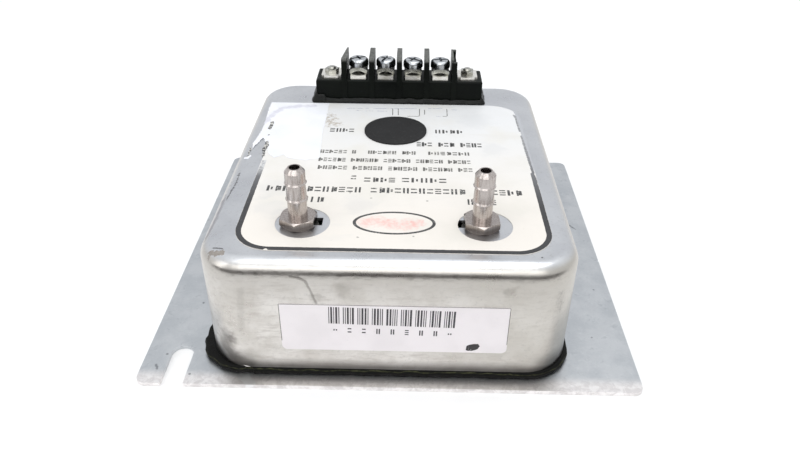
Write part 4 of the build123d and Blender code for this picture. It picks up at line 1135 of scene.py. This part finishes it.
def add_floor():
    corners = [(x * FLOOR_HALF, y * FLOOR_HALF, 0) for x, y in SQUARE]
    looks = {"Base Color": (0.9, 0.9, 0.9, 1), "Roughness": 0.9, "Specular IOR Level": 0.0}
    floor = stage_sheet("floor", corners, looks)
    floor.location.z = -FLOOR_DROP


def add_lights():
    world = bpy.data.worlds.new("studio")
    world.use_nodes = True
    sky = {"Color": (0.97, 0.985, 1.0, 1), "Strength": 0.95}
    set_sockets(world.node_tree.nodes["Background"], sky)
    bpy.context.scene.world = world
    bpy.context.scene.view_settings.view_transform = "Standard"
    softbox("overhead", (0.05, -0.05, 0.75), (0, -0.02, 0), 0.7, 0.45, 1.9)
    softbox("left_strip", (-0.6, -0.35, 0.4), (0, 0, 0.03), 0.25, 0.5, 1.6)
    softbox("front_fill", (0, -0.6, 0.52), (0, -0.05, 0.02), 0.7, 0.35, 1.6)
    card("dark_flag", (-0.7, -0.17, 0.008), (0.7, -0.17, 0.07), (0.1, 0.09, 0.092, 1))
    card("grey_sky", (-2.0, 1.3, 0.12), (2.0, 1.3, 1.5), (0.75, 0.762, 0.785, 1))


def add_camera():
    pitch, roll, yaw = CAMERA_PITCH, CAMERA_ROLL, CAMERA_YAW
    ahead = Vector((math.sin(yaw) * math.cos(pitch), math.cos(yaw) * math.cos(pitch), -math.sin(pitch)))
    level = Vector((math.cos(yaw), -math.sin(yaw), 0))
    upward = level.cross(ahead)
    right = level * math.cos(roll) + upward * math.sin(roll)
    above = upward * math.cos(roll) - level * math.sin(roll)
    data = bpy.data.cameras.new("camera")
    data.sensor_width = SENSOR_MM
    data.lens = FOCAL_PX / FRAME_W_PX * SENSOR_MM
    data.clip_start = 0.005
    camera = bpy.data.objects.new("camera", data)
    turn = Matrix((right, above, -ahead)).transposed().to_4x4()
    camera.matrix_world = Matrix.Translation(Vector(CAMERA_AT) * MM) @ turn
    bpy.context.scene.collection.objects.link(camera)
    bpy.context.scene.camera = camera


def each_pole(node):
    """The names of a node that every pole of the strip has."""
    return [f"{node}_{i}" for i in range(1, POLES + 1)]


def finish_outside():
    wear(case_finish(), "case")
    wear(plate_finish(), "base_plate")
    wear(label_finish(), "face_label")
    wear(phenolic_finish(), "terminal_block")
    wear(paper_finish("sticker_paper", (241, 236, 238), (235, 230, 232)), "front_sticker")
    plug = {"rough": 0.6, "size": 6, "relief": 0.012, "specular": 0.25, "dust": 0.06}
    wear(moulded_finish("plug_plastic", (27, 27, 28), (35, 35, 36), **plug), "hole_plug")
    wear(fitting_finish(), "low_port_fitting", "high_port_fitting", "low_port_nut", "high_port_nut")
    for name in each_pole("terminal_screw"):
        wear(screw_finish(name), name)


FIXINGS = [
    "strip_bolts", "strip_nuts", "case_posts", "base_screws",
    "capsule_screws", "sensor_screws", "board_standoffs", "board_screws",
]
PLATES = ["end_plates", *each_pole("terminal_plate")]
WASHERS = ["low_port_washer", "high_port_washer"]
HALVES = ["sensor_lower_half", "sensor_upper_half"]
# Metals: finish, light and dark tone, roughness, lump size, relief, grime and nodes
METALS = [
    ("clamp_metal", (190, 190, 184), (140, 140, 132), 0.3, 1, 0.012, 0.6, each_pole("terminal_clamp")),
    ("terminal_metal", (246, 244, 239), (226, 223, 214), 0.35, 1, 0.006, 0.12, PLATES),
    ("plated_steel", (190, 190, 184), (150, 148, 140), 0.3, 0.9, 0.012, 0.6, FIXINGS),
    # The port washers are painted dark as painted shade, where they sit in shadow under the hexagons
    ("shaded_washer_steel", (96, 95, 92), (74, 73, 70), 0.5, 1.2, 0.006, 0.3, WASHERS),
    ("capsule_aluminium", (204, 206, 208), (186, 188, 190), 0.3, 2.5, 0.006, 0.3, HALVES),
    ("diaphragm_steel", (200, 200, 200), (186, 186, 186), 0.2, 3, 0.006, 0.3, ["sensor_diaphragm"]),
]
# Plastics inside: finish, light and dark tone, roughness, lump size, relief and nodes
INSIDE = [
    ("hose_silicone", (214, 212, 200), (196, 194, 180), 0.4, 4, 0.004, ["low_hose", "high_hose"]),
    ("wire_cover", (176, 40, 34), (150, 30, 28), 0.35, 3, 0.004, ["terminal_wires", "sensor_leads"]),
    ("board_laminate", (36, 104, 66), (28, 86, 54), 0.35, 5, 0.006, ["circuit_board"]),
    ("trimmer_plastic", (46, 86, 150), (38, 74, 132), 0.4, 2, 0.006, ["zero_trimmer", "span_trimmer"]),
    ("rotor_plastic", (232, 230, 220), (214, 210, 198), 0.45, 1.5, 0.005, ["zero_rotor", "span_rotor"]),
    ("chip_plastic", (38, 38, 40), (50, 50, 52), 0.5, 2, 0.01, ["integrated_circuits"]),
    ("capacitor_cover", (54, 74, 122), (44, 62, 108), 0.35, 2, 0.01, ["capacitors"]),
    ("resistor_body", (206, 184, 146), (188, 164, 126), 0.35, 1.2, 0.01, ["resistors"]),
]


def finish_tables():
    for name, light, dark, rough, size, relief, grime, nodes in METALS:
        wear(metal_finish(name, light, dark, rough, size, relief, grime), *nodes)
    for name, light, dark, rough, size, relief, nodes in INSIDE:
        wear(moulded_finish(name, light, dark, rough, size, relief), *nodes)


def add_print():
    border = border_finish()
    title_ink = ink_finish("title_ink", (58, 58, 58), 0.56, 0.68)
    text_ink = ink_finish("text_ink", (82, 81, 78), 0.54, 0.68)
    bold_ink = ink_finish("bold_ink", (58, 58, 58), 0.6, 0.7)
    faint_ink = ink_finish("faint_ink", (150, 154, 172), 0.46, 0.6)
    title = rows([TITLE], TITLE_SEED, 0.55, 13) + rows(LARGE_ROWS, LARGE_SEED, 0.55, 0)
    bold = rows([BOLD_ROW], BOLD_SEED, 0.58, 4) + rows(SIDE_ROWS + PORT_ROWS, WORDS_SEED, 0.52, 0)
    prints = [
        ("label_border", border_outlines(), border),
        ("label_title", title, title_ink),
        ("label_lines", rows(SMALL_ROWS, SMALL_SEED, 0.5), text_ink),
        ("label_words", bold, bold_ink),
        ("label_oval", oval_outlines(), bold_ink),
        ("label_rules", [stroke_outline(run, RULE_W) for run in RULES], text_ink),
        ("label_faint_rules", [stroke_outline(run, RULE_W) for run in FAINT_RULES], faint_ink),
    ]
    for name, outlines, ink in prints:
        print_piece(name, outlines, on_top(LABEL_HIGH.z), ink)


def add_torn():
    torn_paper = torn_finish()
    torn_ink = ink_finish("torn_ink", (66, 66, 68), 0.48, 0.58)
    outline = ragged(TORN_OUTLINE, TORN_STEP, TORN_SHAKE, LABEL_HIGH.y - 1)
    torn = print_piece("torn_remnant", [outline], on_top(LABEL_HIGH.z), torn_paper, TORN_THIN)
    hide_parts("torn_sticker")
    scraps = [ragged(outline, SCRAP_STEP, 0.25) for outline in FRAGMENTS]
    print_piece("old_print_scraps", scraps, on_top(TORN_HIGH.z), torn_ink)
    curl = [stroke_outline(CURL, CURL_W)]
    print_piece("film_curl", curl, on_top(TOP_Z), torn_ink, CURL_T)
    scrap = [ragged(SCRAP, SCRAP_STEP, 0.15)]
    print_piece("film_scrap", scrap, on_top(TOP_Z), torn_paper, SCRAP_T)


def add_sticker_print():
    front = on_front(STICKER_LOW.y)
    edge_ink = ink_finish("edge_ink", (96, 92, 88), 0.6, 0.72)
    edges = [stroke_outline(edge, STICKER_EDGE_W) for edge in sticker_edges()]
    print_piece("sticker_edge", edges, front, edge_ink, STICKER_INK_T)
    code_ink = ink_finish("code_ink", (60, 58, 62), 0.66, 0.76, pale=(200, 196, 200))
    stripes = barcode_outlines() + mark_outlines()
    print_piece("barcode_stripes", stripes, front, code_ink, STICKER_INK_T)
    smudge_ink = ink_finish("smudge_ink", (44, 42, 44), 0.62, 0.72)
    smudge = [ragged(SMUDGE, SCRAP_STEP, 0.2)]
    print_piece("sticker_smudge", smudge, front, smudge_ink, STICKER_INK_T)


finish_outside()
finish_tables()
add_gasket(foam_finish())
sealant = {"rough": 0.35, "size": 1.6, "relief": 0.1, "specular": 0.22}
add_bead(moulded_finish("sealant", (9, 10, 9), (18, 20, 18), **sealant))
add_print()
add_torn()
add_sticker_print()
add_floor()
add_lights()
add_camera()
